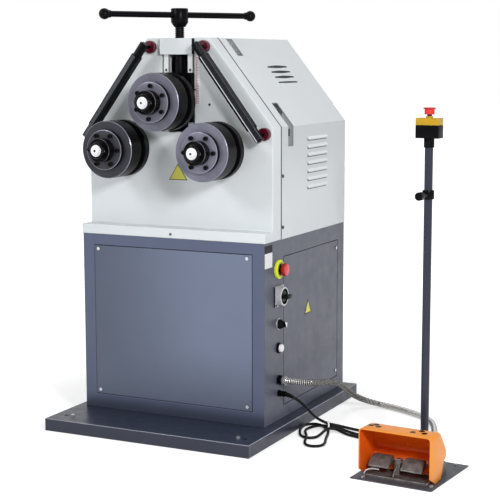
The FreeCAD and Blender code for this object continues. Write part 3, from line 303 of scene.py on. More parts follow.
def dress(mesh, material, pick=None):
    """Gives a mesh its finishes, by name or made; pick says which of several a face wears."""
    chosen = [pick(face) if pick else face.material_index for face in mesh.polygons]
    finishes = material if isinstance(material, tuple) else (material,)
    mesh.materials.clear()
    for item in finishes:
        mesh.materials.append(finish(item) if isinstance(item, str) else item)
    for face, index in zip(mesh.polygons, chosen):
        face.material_index = min(index, len(finishes) - 1)


def add_piece(name, shape, material, body="main_frame", nodes=(), slot=None, smooth=32,
              pick=None, matrix=None, scale=MM):
    """Links a bmesh or mesh as a piece that rides on a body and stands for CAD nodes."""
    mesh = mesh_from(name, shape, matrix, scale) if isinstance(
        shape, bmesh.types.BMesh) else shape
    dress(mesh, material, pick)
    mesh.shade_smooth()
    mesh.set_sharp_from_angle(angle=math.radians(smooth))
    piece = placed(name, mesh)
    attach(piece, body)
    if nodes:
        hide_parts(*nodes)
        slot = slot or SLOT_OF[nodes[0]]
    return piece


def mesh_from(name, shape, matrix=None, scale=MM):
    """Turns a bmesh in millimetres into a mesh in metres, in place."""
    if scale != 1:
        bmesh.ops.scale(shape, vec=(scale, scale, scale), verts=shape.verts)
    if matrix is not None:
        bmesh.ops.transform(shape, matrix=matrix, verts=shape.verts)
    bmesh.ops.recalc_face_normals(shape, faces=shape.faces)
    mesh = bpy.data.meshes.new(name)
    shape.to_mesh(mesh)
    shape.free()
    return mesh


def merged_copy(node):
    """A node's shape as a bmesh in millimetres, merged and with its flat faces whole."""
    shape = bmesh.new()
    shape.from_mesh(frame["nodes"][node].data)
    bmesh.ops.scale(shape, vec=(1000, 1000, 1000), verts=shape.verts)
    bmesh.ops.remove_doubles(shape, verts=shape.verts, dist=0.01)
    bmesh.ops.dissolve_limit(shape, angle_limit=math.radians(0.8), verts=shape.verts,
                             edges=shape.edges)
    return shape


def rounded_node(node, width, material, shortest=9.0, steps=2, pick=None):
    """Stands for a CAD node with the same shape and its long edges rounded."""
    shape = merged_copy(node)
    for face in shape.faces:
        face.material_index = 0
    round_edges(shape, width, steps, 28, shortest, False,
                1 if isinstance(material, tuple) and not pick else -1)
    piece = add_piece(node + "_dressed", shape, material, BODY_OF[node], (node,), pick=pick)
    for face in piece.data.polygons:
        face.use_smooth = face.area < LARGEST_SMOOTH
    return piece


def coat_node(node, material, pick=None):
    """Keeps a CAD node as it is and gives it a finish."""
    dress(frame["nodes"][node].data, material, pick)


def block(shape, x, y, z, bevel=0.0, steps=2):
    """Adds a box, with its edges rounded, to a bmesh."""
    made = bmesh.ops.create_cube(shape, size=1.0)["verts"]
    for vert in made:
        vert.co = Vector([
            low + (high - low) * (part + 0.5) for part, (low, high) in zip(vert.co, (x, y, z))])
    if bevel:
        edges = list({edge for vert in made for edge in vert.link_edges})
        bmesh.ops.bevel(shape, geom=edges, offset=bevel, segments=steps, profile=0.5,
                        affect="EDGES", clamp_overlap=True)


def spin_ring(shape, profile, centre, axis="Y", steps=96):
    """Adds a turned form to a bmesh: the profile is a closed run of (along, radius)."""
    rings = []
    for along, radius in profile:
        angles = [math.tau * index / steps for index in range(steps if radius > 1e-6 else 1)]
        rings.append([shape.verts.new(along_axis(
            axis, centre, along, radius * math.cos(angle), radius * math.sin(angle)))
            for angle in angles])
    for index, first in enumerate(rings):
        join_rings(shape, first, rings[(index + 1) % len(rings)])


def join_rings(shape, first, second):
    """Adds the faces between two rings of points; a ring of one point makes a tip."""
    steps = max(len(first), len(second))
    made = []
    for step in range(steps if steps > 1 else 0):
        following = (step + 1) % steps
        corners = (first[step % len(first)], second[step % len(second)],
                   second[following % len(second)], first[following % len(first)])
        made.append(shape.faces.new(list(dict.fromkeys(corners))))
    return made


def along_axis(axis, centre, along, across, up):
    """A point a distance along a form's axis, whose line runs through the centre."""
    first, second = centre[0] + across, centre[1] + up
    return {"Y": (first, along, second), "X": (along, first, second),
            "Z": (first, second, along)}[axis]


def turned_group(name, forms, material, body="main_frame", axis="Y", steps=96, **settings):
    """Adds turned forms, each (profile, centre), as one piece."""
    shape = bmesh.new()
    for profile, centre in forms:
        spin_ring(shape, profile, centre, axis, steps)
    return add_piece(name, shape, material, body, **settings)


def turned_piece(name, profile, centre, *rest, **settings):
    """Adds a turned form as a piece of its own."""
    return turned_group(name, [(profile, centre)], *rest, **settings)


def block_piece(name, spans, material, *bevel, **settings):
    """Adds one piece that is made of blocks, each (x span, y span, z span)."""
    shape = bmesh.new()
    for span in spans:
        block(shape, *span, *bevel)
    return add_piece(name, shape, material, **settings)


def both_sides(near, far, y, z):
    """The same block on the left and on the right."""
    return [(sorted((side * near, side * far)), y, z) for side in (-1, 1)]


def sign_plate(name, border, face, depths, axis):
    """Adds a bare triangular sign with a dark border; each triangle is (low, high, foot, top)."""
    shape = bmesh.new()
    for index, ((low, high, foot, top, peak), (back, front)) in enumerate(
            zip((border, face), depths)):
        prism(shape, [(low, foot), (high, foot), (peak, top)], back, front, axis)
        if not index:
            for side in shape.faces:
                side.material_index = 1
    add_piece(name, shape, ("sign", "dark_plate"))


def rail_strip(shape, side, along, across, deep):
    """Adds a flat strip in a guide rail's own directions, from its top and its middle line."""
    prism(shape, [
        (side * (88.81 + RAIL_X * a + RAIL_Z * b), 1218.31 - RAIL_Z * a + RAIL_X * b)
        for a, b in ((along[0], across[0]), (along[1], across[0]), (along[1], across[1]),
                     (along[0], across[1]))], deep[0], deep[1])


def skinned(shape, first, second):
    """Closes the solid between two outlines of the same number of points."""
    ends = [[shape.verts.new(spot) for spot in outline] for outline in (first, second)]
    shape.faces.new(ends[0])
    shape.faces.new(list(reversed(ends[1])))
    join_rings(shape, *ends)


def slope_patch(shape, span, low, tall):
    """Adds a thin lens-shaped dark patch, a slit's painted shadow, on the hood's right slope, from
    its height on the slope.
    """
    shares = [n / 6 for n in range(7)]
    outline = [(span[0] + (span[1] - span[0]) * share,
                low + 3 + sign * tall / 2 * (0.35 + 0.65 * math.sin(math.pi * share)))
               for sign, run in ((-1, shares), (1, shares[::-1])) for share in run]
    skinned(shape, *([
        (SHOULDER[0] - SLOPE_X * along + SLOPE_Z * lift, y,
         SHOULDER[1] + SLOPE_Z * along + SLOPE_X * lift)
        for y, along in outline] for lift in (-0.5, 0.25)))


def prism(shape, outline, low, high, axis="Y"):
    """Adds a polygon of (first, second) points, run along an axis, to a bmesh."""
    skinned(shape, *([along_axis(axis, spot, along, 0, 0) for spot in outline]
                     for along in (low, high)))


def round_edges(shape, width, steps=2, sharper=25, shortest=0.0, clamp=True, material=0):
    """Rounds those of a bmesh's edges that are long and sharp enough."""
    edges = [edge for edge in shape.edges if len(edge.link_faces) == 2
             and edge.calc_face_angle(0) > math.radians(sharper)
             and edge.calc_length() > shortest]
    bmesh.ops.bevel(shape, geom=edges, offset=width, segments=steps, profile=0.5,
                    affect="EDGES", clamp_overlap=clamp, material=material)


# ---- Patterns grown with Geometry Nodes ----------------------------------------------------


class Pattern(Tree):
    """A small builder for one Geometry Nodes tree that copies a seed onto points."""

    def __init__(self, name, *inputs):
        super().__init__(bpy.data.node_groups.new(name, "GeometryNodeTree"))
        face = self.tree.interface
        face.new_socket("Geometry", in_out="INPUT", socket_type="NodeSocketGeometry")
        for title, kind, default in inputs + (("Material", "Material", None),):
            socket = face.new_socket(title, in_out="INPUT", socket_type="NodeSocket" + kind)
            if default is not None:
                socket.default_value = default
        face.new_socket("Geometry", in_out="OUTPUT", socket_type="NodeSocketGeometry")
        self.given = self.tree.nodes.new("NodeGroupInput").outputs
        self.end = self.tree.nodes.new("NodeGroupOutput")

    def moved(self, geometry, **inputs):
        return self.node("GeometryNodeTransform", {"Geometry": geometry, **inputs}).outputs[0]

    def close(self, points):
        copies = self.node("GeometryNodeInstanceOnPoints", {
            "Points": points, "Instance": self.given["Geometry"]})
        solid = self.node("GeometryNodeRealizeInstances", {"Geometry": copies.outputs[0]})
        coated = self.node("GeometryNodeSetMaterial", {
            "Geometry": solid.outputs[0], "Material": self.given["Material"]})
        self.tree.links.new(coated.outputs[0], self.end.inputs[0])
        return self.tree


def ring_pattern():
    """Copies of the seed round a circle that faces along Y."""
    made = Pattern("ring_of_pieces", ("Count", "Int", 6), ("Radius", "Float", 0.05),
                   ("Start Turn", "Float", 0.0), ("Centre", "Vector", (0, 0, 0)))
    circle = made.node("GeometryNodeMeshCircle", {
        "Vertices": made.given["Count"], "Radius": made.given["Radius"]})
    tilt = made.node("ShaderNodeCombineXYZ", {"X": math.pi / 2}).outputs[0]
    turn = made.node("ShaderNodeCombineXYZ", {"Y": made.given["Start Turn"]}).outputs[0]
    turned = made.moved(made.moved(circle.outputs[0], Rotation=tilt), Rotation=turn)
    return made.close(made.moved(turned, Translation=made.given["Centre"]))


def row_pattern():
    """Copies of the seed in a straight row."""
    made = Pattern("row_of_pieces", ("Count", "Int", 10), ("Start", "Vector", (0, 0, 0)),
                   ("Step", "Vector", (0, 0, 0.01)))
    return made.close(made.node("GeometryNodeMeshLine", {
        "Count": made.given["Count"], "Start Location": made.given["Start"],
        "Offset": made.given["Step"]}, mode="OFFSET").outputs[0])


def corner_pattern():
    """Copies of the seed at the corners of a level rectangle."""
    made = Pattern("corner_pieces", ("Width", "Float", 0.6), ("Depth", "Float", 0.7),
                   ("Centre", "Vector", (0, 0, 0)))
    grid = made.node("GeometryNodeMeshGrid", {
        "Size X": made.given["Width"], "Size Y": made.given["Depth"], "Vertices X": 2,
        "Vertices Y": 2})
    return made.close(made.moved(grid.outputs[0], Translation=made.given["Centre"]))


def grown(name, seed, tree, material, body="main_frame", slot=None, **values):
    """Adds a piece that a pattern grows from a seed, kept as a plain mesh."""
    values = {key.replace("_", " "): value for key, value in values.items()}
    values["Material"] = finish(material) if isinstance(material, str) else material
    maker = placed(name + "_maker", mesh_from(name + "_seed", seed))
    grow = maker.modifiers.new("Pattern", "NODES")
    grow.node_group = tree
    for socket in tree.interface.items_tree:
        if socket.item_type == "SOCKET" and socket.in_out == "INPUT" and socket.name in values:
            grow[socket.identifier] = values[socket.name]
    graph = bpy.context.evaluated_depsgraph_get()
    mesh = bpy.data.meshes.new_from_object(maker.evaluated_get(graph))
    bpy.data.objects.remove(maker)
    mesh.name = name
    return add_piece(name, mesh, material, body, slot=slot)


def cap_screw(radius, height):
    """A hexagon-socket cap screw whose head stands out along -Y from the origin."""
    shape = bmesh.new()
    socket = radius * 0.56
    spin_ring(shape, [(0, radius), (0, 0), (-height * 0.45, 0), (-height * 0.45, socket),
                      (-height, socket), (-height, radius * 0.93), (-height * 0.93, radius)],
              (0, 0), "Y", 24)
    return shape


def bolt_head(radius, height):
    """A small hexagon head that stands up along Z from the origin."""
    shape = bmesh.new()
    corners = [(radius * math.cos(math.tau * n / 6), radius * math.sin(math.tau * n / 6))
               for n in range(6)]
    prism(shape, corners, 0, height, "Z")
    round_edges(shape, 0.5, 1)
    return shape


# ---- Settings ------------------------------------------------------------------------------


def colour_setting(title, words, default):
    return FloatVectorProperty(name=title, description=words, subtype="COLOR", size=4, min=0,
                               max=1, default=default)


class RingRollerPaint(bpy.types.PropertyGroup):
    """Colours of the painted and moulded parts."""

    head: colour_setting("Head", "Paint of the casting and its hood", srgb(214, 219, 222))
    cabinet: colour_setting("Cabinet", "Paint of the cabinet and covers", srgb(82, 85, 100))
    plinth: colour_setting("Plinth", "Paint of the plinth and post", srgb(45, 48, 64))
    black: colour_setting("Black parts", "Enamel on rails and handle", srgb(5, 5, 8))
    # The rolls' face colour: a painted reflection of the front light on the blackened steel.
    roll: colour_setting("Rolls", "Blackened steel of the rolls", srgb(112, 112, 127))
    crimson: colour_setting("Rail caps", "Plastic of the rail caps", srgb(82, 13, 31))
    stop: colour_setting("Stop buttons", "Plastic of the stop buttons", srgb(214, 44, 38))
    collar: colour_setting("Stop collar", "Plastic round the stop button", srgb(218, 226, 50))
    lid: colour_setting("Pendant lid", "Plastic of the pendant box's lid", srgb(182, 143, 12))
    hood: colour_setting("Foot hood", "Paint of the foot switch hood", srgb(226, 139, 42))
    hose: colour_setting("Hose", "Metal of the ribbed hose", srgb(184, 182, 178))


class RingRollerSizes(bpy.types.PropertyGroup):
    """Sizes of the dressing that a user may change."""

    edge: FloatProperty(name="Edge rounding", description="Radius on folded sheet edges",
                        default=0.0022, min=0, max=0.01, subtype="DISTANCE")
    cast_edge: FloatProperty(name="Casting edge", description="Radius on the casting's edges",
                             default=0.0025, min=0, max=0.01, subtype="DISTANCE")
    rib_pitch: FloatProperty(name="Hose rib pitch", description="From one hose rib to the next",
                             default=0.0056, min=0.002, max=0.02, subtype="DISTANCE")
    clamp_screws: IntProperty(name="Clamp screws", description="Cap screws in each roll clamp",
                              default=6, min=3, max=12)
    thread_pitch: FloatProperty(name="Thread pitch", description="Lead of the feed screw",
                                default=0.006, min=0.002, max=0.01, subtype="DISTANCE")


# Each finish: its maker, its name, a setting's name or 0-255 colour, and the maker's other values.
FINISHES = {
    "head": (coat, "head_paint", "head", 0.4, 700.0, 0.1, 0.02),
    # The hood's sides: head paint with painted shade towards the top.
    "head_side": (coat, "head_side_paint", "head", 0.4, 700.0, 0.1, 0.02, 0.35,
                  ((2, 0.95, 0.72, 0.85),)),
    # Louvre blades' tops: a lighter copy of the head paint, a painted highlight.
    "louvre": (coat, "louvre_paint", (229, 233, 234), 0.35, 700.0, 0.1, 0.02),
    # Recess floors: a darker copy of the head paint, painted shade.
    "recess": (coat, "recess_paint", (122, 126, 128), 0.4, 700.0, 0.1, 0.05),
    # Cabinet sides: painted light, lighter towards the bottom.
    "cabinet": (coat, "cabinet_paint", "cabinet", 0.38, 900.0, 0.12, 0.04, 0.28,
                ((2, 0.05, 0.2, 1.3),)),
    # The cabinet's front faces: a lighter copy of the cabinet paint as painted light, with painted
    # shade along the bottom.
    "cabinet_front": (coat, "cabinet_front_paint", (82, 90, 115), 0.36, 900.0, 0.12, 0.03, 0.35,
                      ((2, 0.05, 0.1, 0.4),)),
    # Front cover: painted shade towards the top left and towards the bottom.
    "front_cover": (coat, "front_cover_paint", (106, 116, 139), 0.34, 900.0, 0.12, 0.04, 0.35,
                    ((0, -0.3, 0.16, 0.56), (2, 0.07, 0.3, 0.68))),
    "plinth": (coat, "plinth_paint", "plinth", 0.34, 900.0, 0.12, 0.06),
    # Plinth top: a darker copy of the plinth paint, a painted reflection.
    "plinth_top": (coat, "plinth_top_paint", (39, 45, 61), 0.34, 900.0, 0.12, 0.06),
    # A painted highlight on the plinth's rounded edges.
    "edge": (coat, "edge_wear", (150, 154, 166), 0.3, 900.0, 0.1, 0.05),
    # Black strips in gaps, slots and holes: painted shade.
    "seal": (rubber, "seal_strip", (16, 17, 21)),
    "black": (coat, "black_enamel", "black", 0.26, 1300.0, 0.06, 0.1, 0.06),
    # Light strips along the guide rails: painted highlights.
    "rail_line": (coat, "rail_line", (196, 199, 206), 0.3, 1300.0, 0.06, 0.04),
    # Grey: painted highlight strips on the rails and painted shadows under the louvre blades.
    "rail_grey": (coat, "rail_grey", (92, 94, 102), 0.3, 1300.0, 0.06, 0.06),
    # The right rail's ridges in dark grey: a faint painted highlight.
    "rail_ridge": (coat, "rail_ridge", (34, 36, 44), 0.3, 1300.0, 0.06, 0.06),
    "bright": (ground_steel, "bright_steel", (216, 218, 218), 0.3, 0.5),
    "zinc": (ground_steel, "zinc_plate", (196, 198, 202), 0.3, 0.8),
    "screw": (ground_steel, "screw_steel", (70, 70, 78), 0.3, 0.6),
    "bronze": (turned_metal, "bronze", (178, 140, 84)),
    "gear": (ground_steel, "gear_steel", (150, 150, 154), 0.35),
    "motor": (coat, "motor_enamel", (48, 78, 120), 0.45),
    "beige": (moulded, "contactor_grey", (190, 190, 182)),
    "crimson": (moulded, "crimson_plastic", "crimson", 0.2),
    "crimson_dark": (moulded, "crimson_dark", (44, 6, 16), 0.3),
    "stop": (moulded, "stop_red", "stop", 0.3),
    # The stop buttons' sides: a darker copy of the red, painted shade.
    "stop_side": (moulded, "stop_side", (150, 14, 18), 0.34),
    "collar": (moulded, "stop_yellow", "collar", 0.4),
    "switch": (moulded, "switch_silver", (172, 172, 178), 0.34),
    "plastic": (moulded, "black_plastic", (5, 5, 8), 0.24, 0.07),
    "white": (moulded, "white_plastic", (240, 240, 244), 0.3),
    "plate": (coat, "label_plate", (232, 232, 236), 0.5, 1500.0, 0.05, 0.02),
    "dark_plate": (coat, "dark_plate", (24, 25, 34), 0.4, 1500.0, 0.05, 0.03, 0.08),
    "sign": (coat, "sign_yellow", (222, 218, 96), 0.42, 1500.0, 0.05, 0.02),
    "red_line": (coat, "scale_red", (206, 44, 62), 0.45, 1500.0, 0.05, 0.02),
    "lid": (moulded, "lid_yellow", "lid", 0.35),
    "hood": (coat, "hood_orange", "hood", 0.36, 800.0, 0.12, 0.03),
    # Inside the foot hood: a darker copy of its paint, painted shade.
    "hood_inside": (coat, "hood_inside", (216, 88, 16), 0.3, 800.0, 0.12, 0.06, 0.2),
    "foot": (cast_metal, "foot_casting", (92, 89, 87)),
    # Lighter on the foot switch's rounded edges and tread lips.
    "foot_edge": (cast_metal, "foot_worn_edge", (140, 138, 138)),
    "deck": (coat, "deck_paint", (66, 67, 74), 0.5, 500.0, 0.3, 0.08),
    "pole": (coat, "pole_paint", (46, 48, 63), 0.2, 900.0, 0.08, 0.05, 0.2),
    "hose": (ground_steel, "hose_steel", "hose", 0.22, 0.92),
    # The hose's grooves: a dark copy of the hose steel, painted shade.
    "groove": (ground_steel, "hose_groove", (34, 33, 32), 0.4, 0.5),
    "cord": (rubber, "cord_jacket", (9, 9, 11), 0.36),
    "tie": (moulded, "tie_white", (242, 242, 242), 0.4),
}
# The finishes made so far, by name.
MADE = {}


def finish(name):
    """One of the object's finishes, made the first time that it is asked for."""
    if name not in MADE:
        maker, title, colour, *rest = FINISHES[name]
        MADE[name] = maker(title, tuple(getattr(bpy.context.scene.ring_roller_paint, colour))
                           if isinstance(colour, str) else srgb(*colour), *rest)
    return MADE[name]


def roll_finishes(title, centre):
    """A roll's finishes: blackened band, turned face lightened as a painted reflection, a painted
    highlight on the edges, bright shaft and dark hole as painted shade.
    """
    face = shade_of(bpy.context.scene.ring_roller_paint.roll, ROLL_PAINTED_LIGHT_LEVELS[title])
    return [turned_metal(name + title, colour, (centre[0], 0, centre[1]), "Y", *values)
            for name, colour, *values in (
                ("roll_band_", srgb(15, 13, 15), 0.3, 0.2, 0.1),
                ("roll_face_", face, 0.42, 0.3, 0.3),
                ("roll_edge_", srgb(142, 142, 158), 0.3, 0.6),
                ("shaft_steel_", srgb(232, 232, 236), 0.3, 0.6),
                ("shaft_dark_", srgb(14, 14, 16), 0.4, 0.3, 0.1))]


def roll_shade(face):
    """Band, face or edge, from the way that a turned face looks: front faces take the face's
    painted reflection and front chamfers the edge's painted highlight; all else keeps the dark
    band, which is painted shade on front faces behind BAND_START.
    """
    tilt = face.normal.y
    if face.center.y > BAND_START:
        return 0
    return 1 if tilt < -0.93 else 2 if tilt < -0.3 else 0


# ---- Stage ---------------------------------------------------------------------------------

LENS = 97.06
CAMERA_SPOT, CAMERA_TURN = (2.0676, -3.9759, 1.1658), (81.998, 0.138, 26.079)
# Each lamp: its name, where it hangs, where it points, its power in watts and its size.
LAMPS = (
    ("Right_key", (2.55, -2.65, 1.9), (0.1, 0, 0.7), 72, 0.5),
    ("Left_key", (-1.73, -2.92, 2.58), (0.1, 0, 0.7), 37, 0.9),
    ("Top", (0.6, 0.6, 4.0), (0.2, 0, 0.5), 26, 3.0),
)


class RR_OT_stage(bpy.types.Operator):
    """Make the camera, the lamps, the world and a pale floor"""

    bl_idname = "ring_roller.stage"
    bl_label = "Stage"

    def execute(self, context):
        scene = context.scene
        lens = with_values(bpy.data.cameras.new("Camera"),
                           {"sensor_width": 36, "lens": LENS, "clip_end": 50})
        scene.camera = placed("Camera", lens, location=CAMERA_SPOT, rotation_euler=[
            math.radians(turn) for turn in CAMERA_TURN])
        scene.view_settings.view_transform = "Standard"

        world = bpy.data.worlds.new("Studio")
        scene.world = world
        world.use_nodes = True
        air = Tree(world.node_tree)
        sky = air.tree.nodes["Background"]
        sky.inputs["Color"].default_value = (1, 1, 1, 1)
        level = air.node("ShaderNodeMix", {0: air.seen_directly(), 2: 0.4, 3: 1.0})
        air.tree.links.new(level.outputs[0], sky.inputs["Strength"])

        for title, spot, aim, power, size in LAMPS:
            lamp = with_values(bpy.data.lights.new(title, "AREA"),
                               {"energy": power, "size": size})
            way = Vector(aim) - Vector(spot)
            placed(title, lamp, location=spot,
                   rotation_euler=way.to_track_quat("-Z", "Y").to_euler())

        shape = bmesh.new()
        bmesh.ops.create_grid(shape, x_segments=2, y_segments=2, size=30)
        mesh = mesh_from("studio_floor", shape, Matrix.Translation((0, 0, -0.0005)), 1)
        mesh.materials.append(wall_paint("floor_white", (0.9, 0.9, 0.9, 1)))
        placed("studio_floor", mesh)
        return {"FINISHED"}


# ---- Cords ---------------------------------------------------------------------------------


def route_spline(name, route):
    """A smooth open curve through the loose line that the route's points hold."""
    curve = with_values(bpy.data.curves.new(name, "CURVE"),
                        {"dimensions": "3D", "resolution_u": 12})
    spline = curve.splines.new("NURBS")
    spline.points.add(len(route) - 1)
    for point, spot in zip(spline.points, route):
        point.co = [part * MM for part in spot] + [1]
    with_values(spline, {"order_u": 3, "use_endpoint_u": True})
    return placed(name, curve)


def line_of(holder):
    """The points along a route's smooth line."""
    graph = bpy.context.evaluated_depsgraph_get()
    mesh = bpy.data.meshes.new_from_object(holder.evaluated_get(graph))
    points = [vert.co.copy() for vert in mesh.vertices]
    bpy.data.meshes.remove(mesh)
    return points


def evenly(points, pitch):
    """The same line again with a point every pitch."""
    length = sum((b - a).length for a, b in zip(points, points[1:]))
    count = max(2, round(length / pitch))
    step = length / count
    made = [points[0].copy()]
    walked, wanted = 0.0, step
    for first, second in zip(points, points[1:]):
        run = (second - first).length
        while wanted <= walked + run + 1e-9 and len(made) < count:
            made.append(first.lerp(second, (wanted - walked) / run))
            wanted += step
        walked += run
    made.append(points[-1].copy())
    return made, length


def swept(shape, points, radii, steps=16):
    """Adds a closed tube along the points to a bmesh, a radius for each point."""
    side = None
    rings = []
    for index, point in enumerate(points):
        ahead = points[min(index + 1, len(points) - 1)] - points[max(index - 1, 0)]
        ahead.normalize()
        if side is None:
            side = ahead.cross(Vector((0, 0, 1))).normalized()
        side = (side - ahead * side.dot(ahead)).normalized()
        up = ahead.cross(side)
        rings.append([shape.verts.new(
            point + (side * math.cos(math.tau * n / steps)
                     + up * math.sin(math.tau * n / steps)) * radii[index])
            for n in range(steps)])
    for place, (first, second) in enumerate(zip(rings, rings[1:])):
        for face in join_rings(shape, first, second):
            # Faces in a groove take the second finish, which on the hose is painted shade.
            face.material_index = int(radii[place] == GROOVE_RADIUS)
    shape.faces.new(list(reversed(rings[0])))
    shape.faces.new(rings[-1])


class RR_OT_hose(bpy.types.Operator):
    """Make the ribbed hose that runs from the cabinet to the foot switch"""

    bl_idname = "ring_roller.hose"
    bl_label = "Hose"

    def execute(self, context):
        pitch = context.scene.ring_roller_sizes.rib_pitch
        guide = route_spline("hose_line", HOSE_ROUTE)
        line = line_of(guide)
        bpy.data.objects.remove(guide)
        stations, length = evenly(line, pitch / 4)
        shape = bmesh.new()
        swept(shape, stations, [(RIB_RADIUS, RIB_RADIUS, GROOVE_RADIUS, GROOVE_RADIUS)[n % 4]
                                for n in range(len(stations))])
        hose = add_piece("ribbed_hose", shape, ("hose", "groove"), nodes=("conduit_hose",),
                         smooth=50, scale=1)
        return {"FINISHED"}


class RR_OT_mains_cord(bpy.types.Operator):
    """Make the mains cord, its tie and its plug"""

    bl_idname = "ring_roller.mains_cord"
    bl_label = "Mains cord"

    def execute(self, context):
        cord = route_spline("mains_cord", CORD_ROUTE)
        line = line_of(cord)
        length = evenly(line, 0.01)[1]
        with_values(cord.data, {
            "bevel_depth": CORD_RADIUS, "bevel_resolution": 4, "use_fill_caps": True})
        cord.data.materials.append(finish("cord"))
        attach(cord, "main_frame")
        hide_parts("mains_lead", "cord_hank", "mains_tail")
        coat_node("mains_plug", "plastic")
        shape = bmesh.new()
        spin_ring(shape, [(-2.6, 11.6), (-2.6, 12.8), (2.6, 12.8), (2.6, 11.6)], (0, 0), "X", 36)
        block(shape, (-3.4, 3.4), (-3, 3), (11.8, 15), 0.6)
        tie = add_piece("cord_tie", shape, "tie", matrix=(
            Matrix.Translation((0.457, -0.124, 0.0134))
            @ Matrix.Rotation(math.radians(26), 4, "Z") @ Matrix.Diagonal((1, 1.6, 1, 1))))
        shape = bmesh.new()
        sleeve = [Vector(spot) for spot in line if (spot - line[0]).length < 0.026]
        swept(shape, sleeve, [0.0074 - 0.0022 * n / len(sleeve) for n in range(len(sleeve))], 20)
        add_piece("strain_relief", shape, "plastic", scale=1)
        return {"FINISHED"}


# ---- Plinth, cabinet and head ---------------------------------------------------------------


def plinth_shade(face):
    """The plinth's sides, its flat top in a darker copy of the paint as a painted reflection, and
    a painted highlight on the rounded slopes between them.
    """
    return 1 if face.normal.z > 0.95 else 2 if face.normal.z > 0.3 else 0


def screw_shade(face):
    """The small flat fronts of the covers' screws are bright with a painted highlight, and the
    rest is dark.
    """
    flat = max(abs(face.normal.x), abs(face.normal.y)) > 0.95
    return int(flat and face.area < 4e-5 and face.center.z < 0.6)


class RR_OT_plinth(bpy.types.Operator):
    """Dress the floor plinth and its levelling screws"""

    bl_idname = "ring_roller.plinth"
    bl_label = "Plinth"

    def execute(self, context):
        sizes = context.scene.ring_roller_sizes
        rounded_node("base_plinth", sizes.edge / MM * FOLD_SHARE,
                     ("plinth", "plinth_top", "edge"), 60, pick=plinth_shade)
        grown("levelling_screws", bolt_head(6.5, 5.5), corner_pattern(), "zinc", Width=0.592,
              Depth=0.74, Centre=(0.005, -0.083, 0.04))
        return {"FINISHED"}


class RR_OT_cabinet(bpy.types.Operator):
    """Dress the cabinet, its covers, their screws and the bare plates"""

    bl_idname = "ring_roller.cabinet"
    bl_label = "Cabinet"

    def execute(self, context):
        sizes = context.scene.ring_roller_sizes
        # Front faces take the cabinet_front paint, whose lighter tone is painted light.
        rounded_node("cabinet_shell", sizes.edge / MM * FOLD_SHARE,
                     ("cabinet", "cabinet_front"), 120, 3,
                     pick=lambda face: int(face.normal.y < -0.8))
        # The front cover wears painted shade towards its top left and its bottom.
        rounded_node("front_panel", 1.0, "front_cover", 60)
        # The side cover wears the cabinet paint with its painted light.
        rounded_node("side_panel", 1.0, "cabinet", 60)
        # The screws' flat fronts take a painted highlight.
        coat_node("cover_screws", ("screw", "zinc"), screw_shade)
        # Dark strips in the cover gaps paint their shade.
        shape = bmesh.new()
        for x, z in (((282.2, 284.6), (88, 577)), ((-283, 284.6), (577.3, 578.3)),
                     ((-283, 284.6), (86.6, 87.6))):
            block(shape, x, (-319.2, -317.2), z)
        for y, z in (((-182.4, -178.2), (83, 557)), ((262.3, 265), (83, 557)),
                     ((-181, 265), (557.2, 559.4)), ((-181, 265), (80.6, 82.8))):
            block(shape, (322.4, 324.9), y, z)
        round_edges(shape, 0.4, 1)
        add_piece("panel_seals", shape, "seal")
        for name, z, material in (("dark_label_plate", (582.5, 606), "dark_plate"),
                                  ("white_label_plate", (536, 582), "plate")):
            block_piece(name, [((325, 325.8), (-317, -264), z)], material, 0.3, 1)
        sign_plate("side_sign_plate", (-15, 37, 346, 392, 11), (-9.5, 31.5, 349, 386, 11),
                   ((325, 325.5), (325.4, 325.8)), "X")
        return {"FINISHED"}


def hood_shade(face):
    """The rear hood's recess floors are darker with painted shade, its louvre blades' tops carry a
    painted highlight, and its sides take painted shade towards their tops.
    """
    if face.area < RECESS_AREA and RECESS_SPAN[0] < face.center.y < RECESS_SPAN[1]:
        return 1
    if abs(face.center.x) > HOOD_SIDE and face.normal.z > 0.2:
        return 2
    return 3 if abs(face.normal.x) > 0.98 else 0


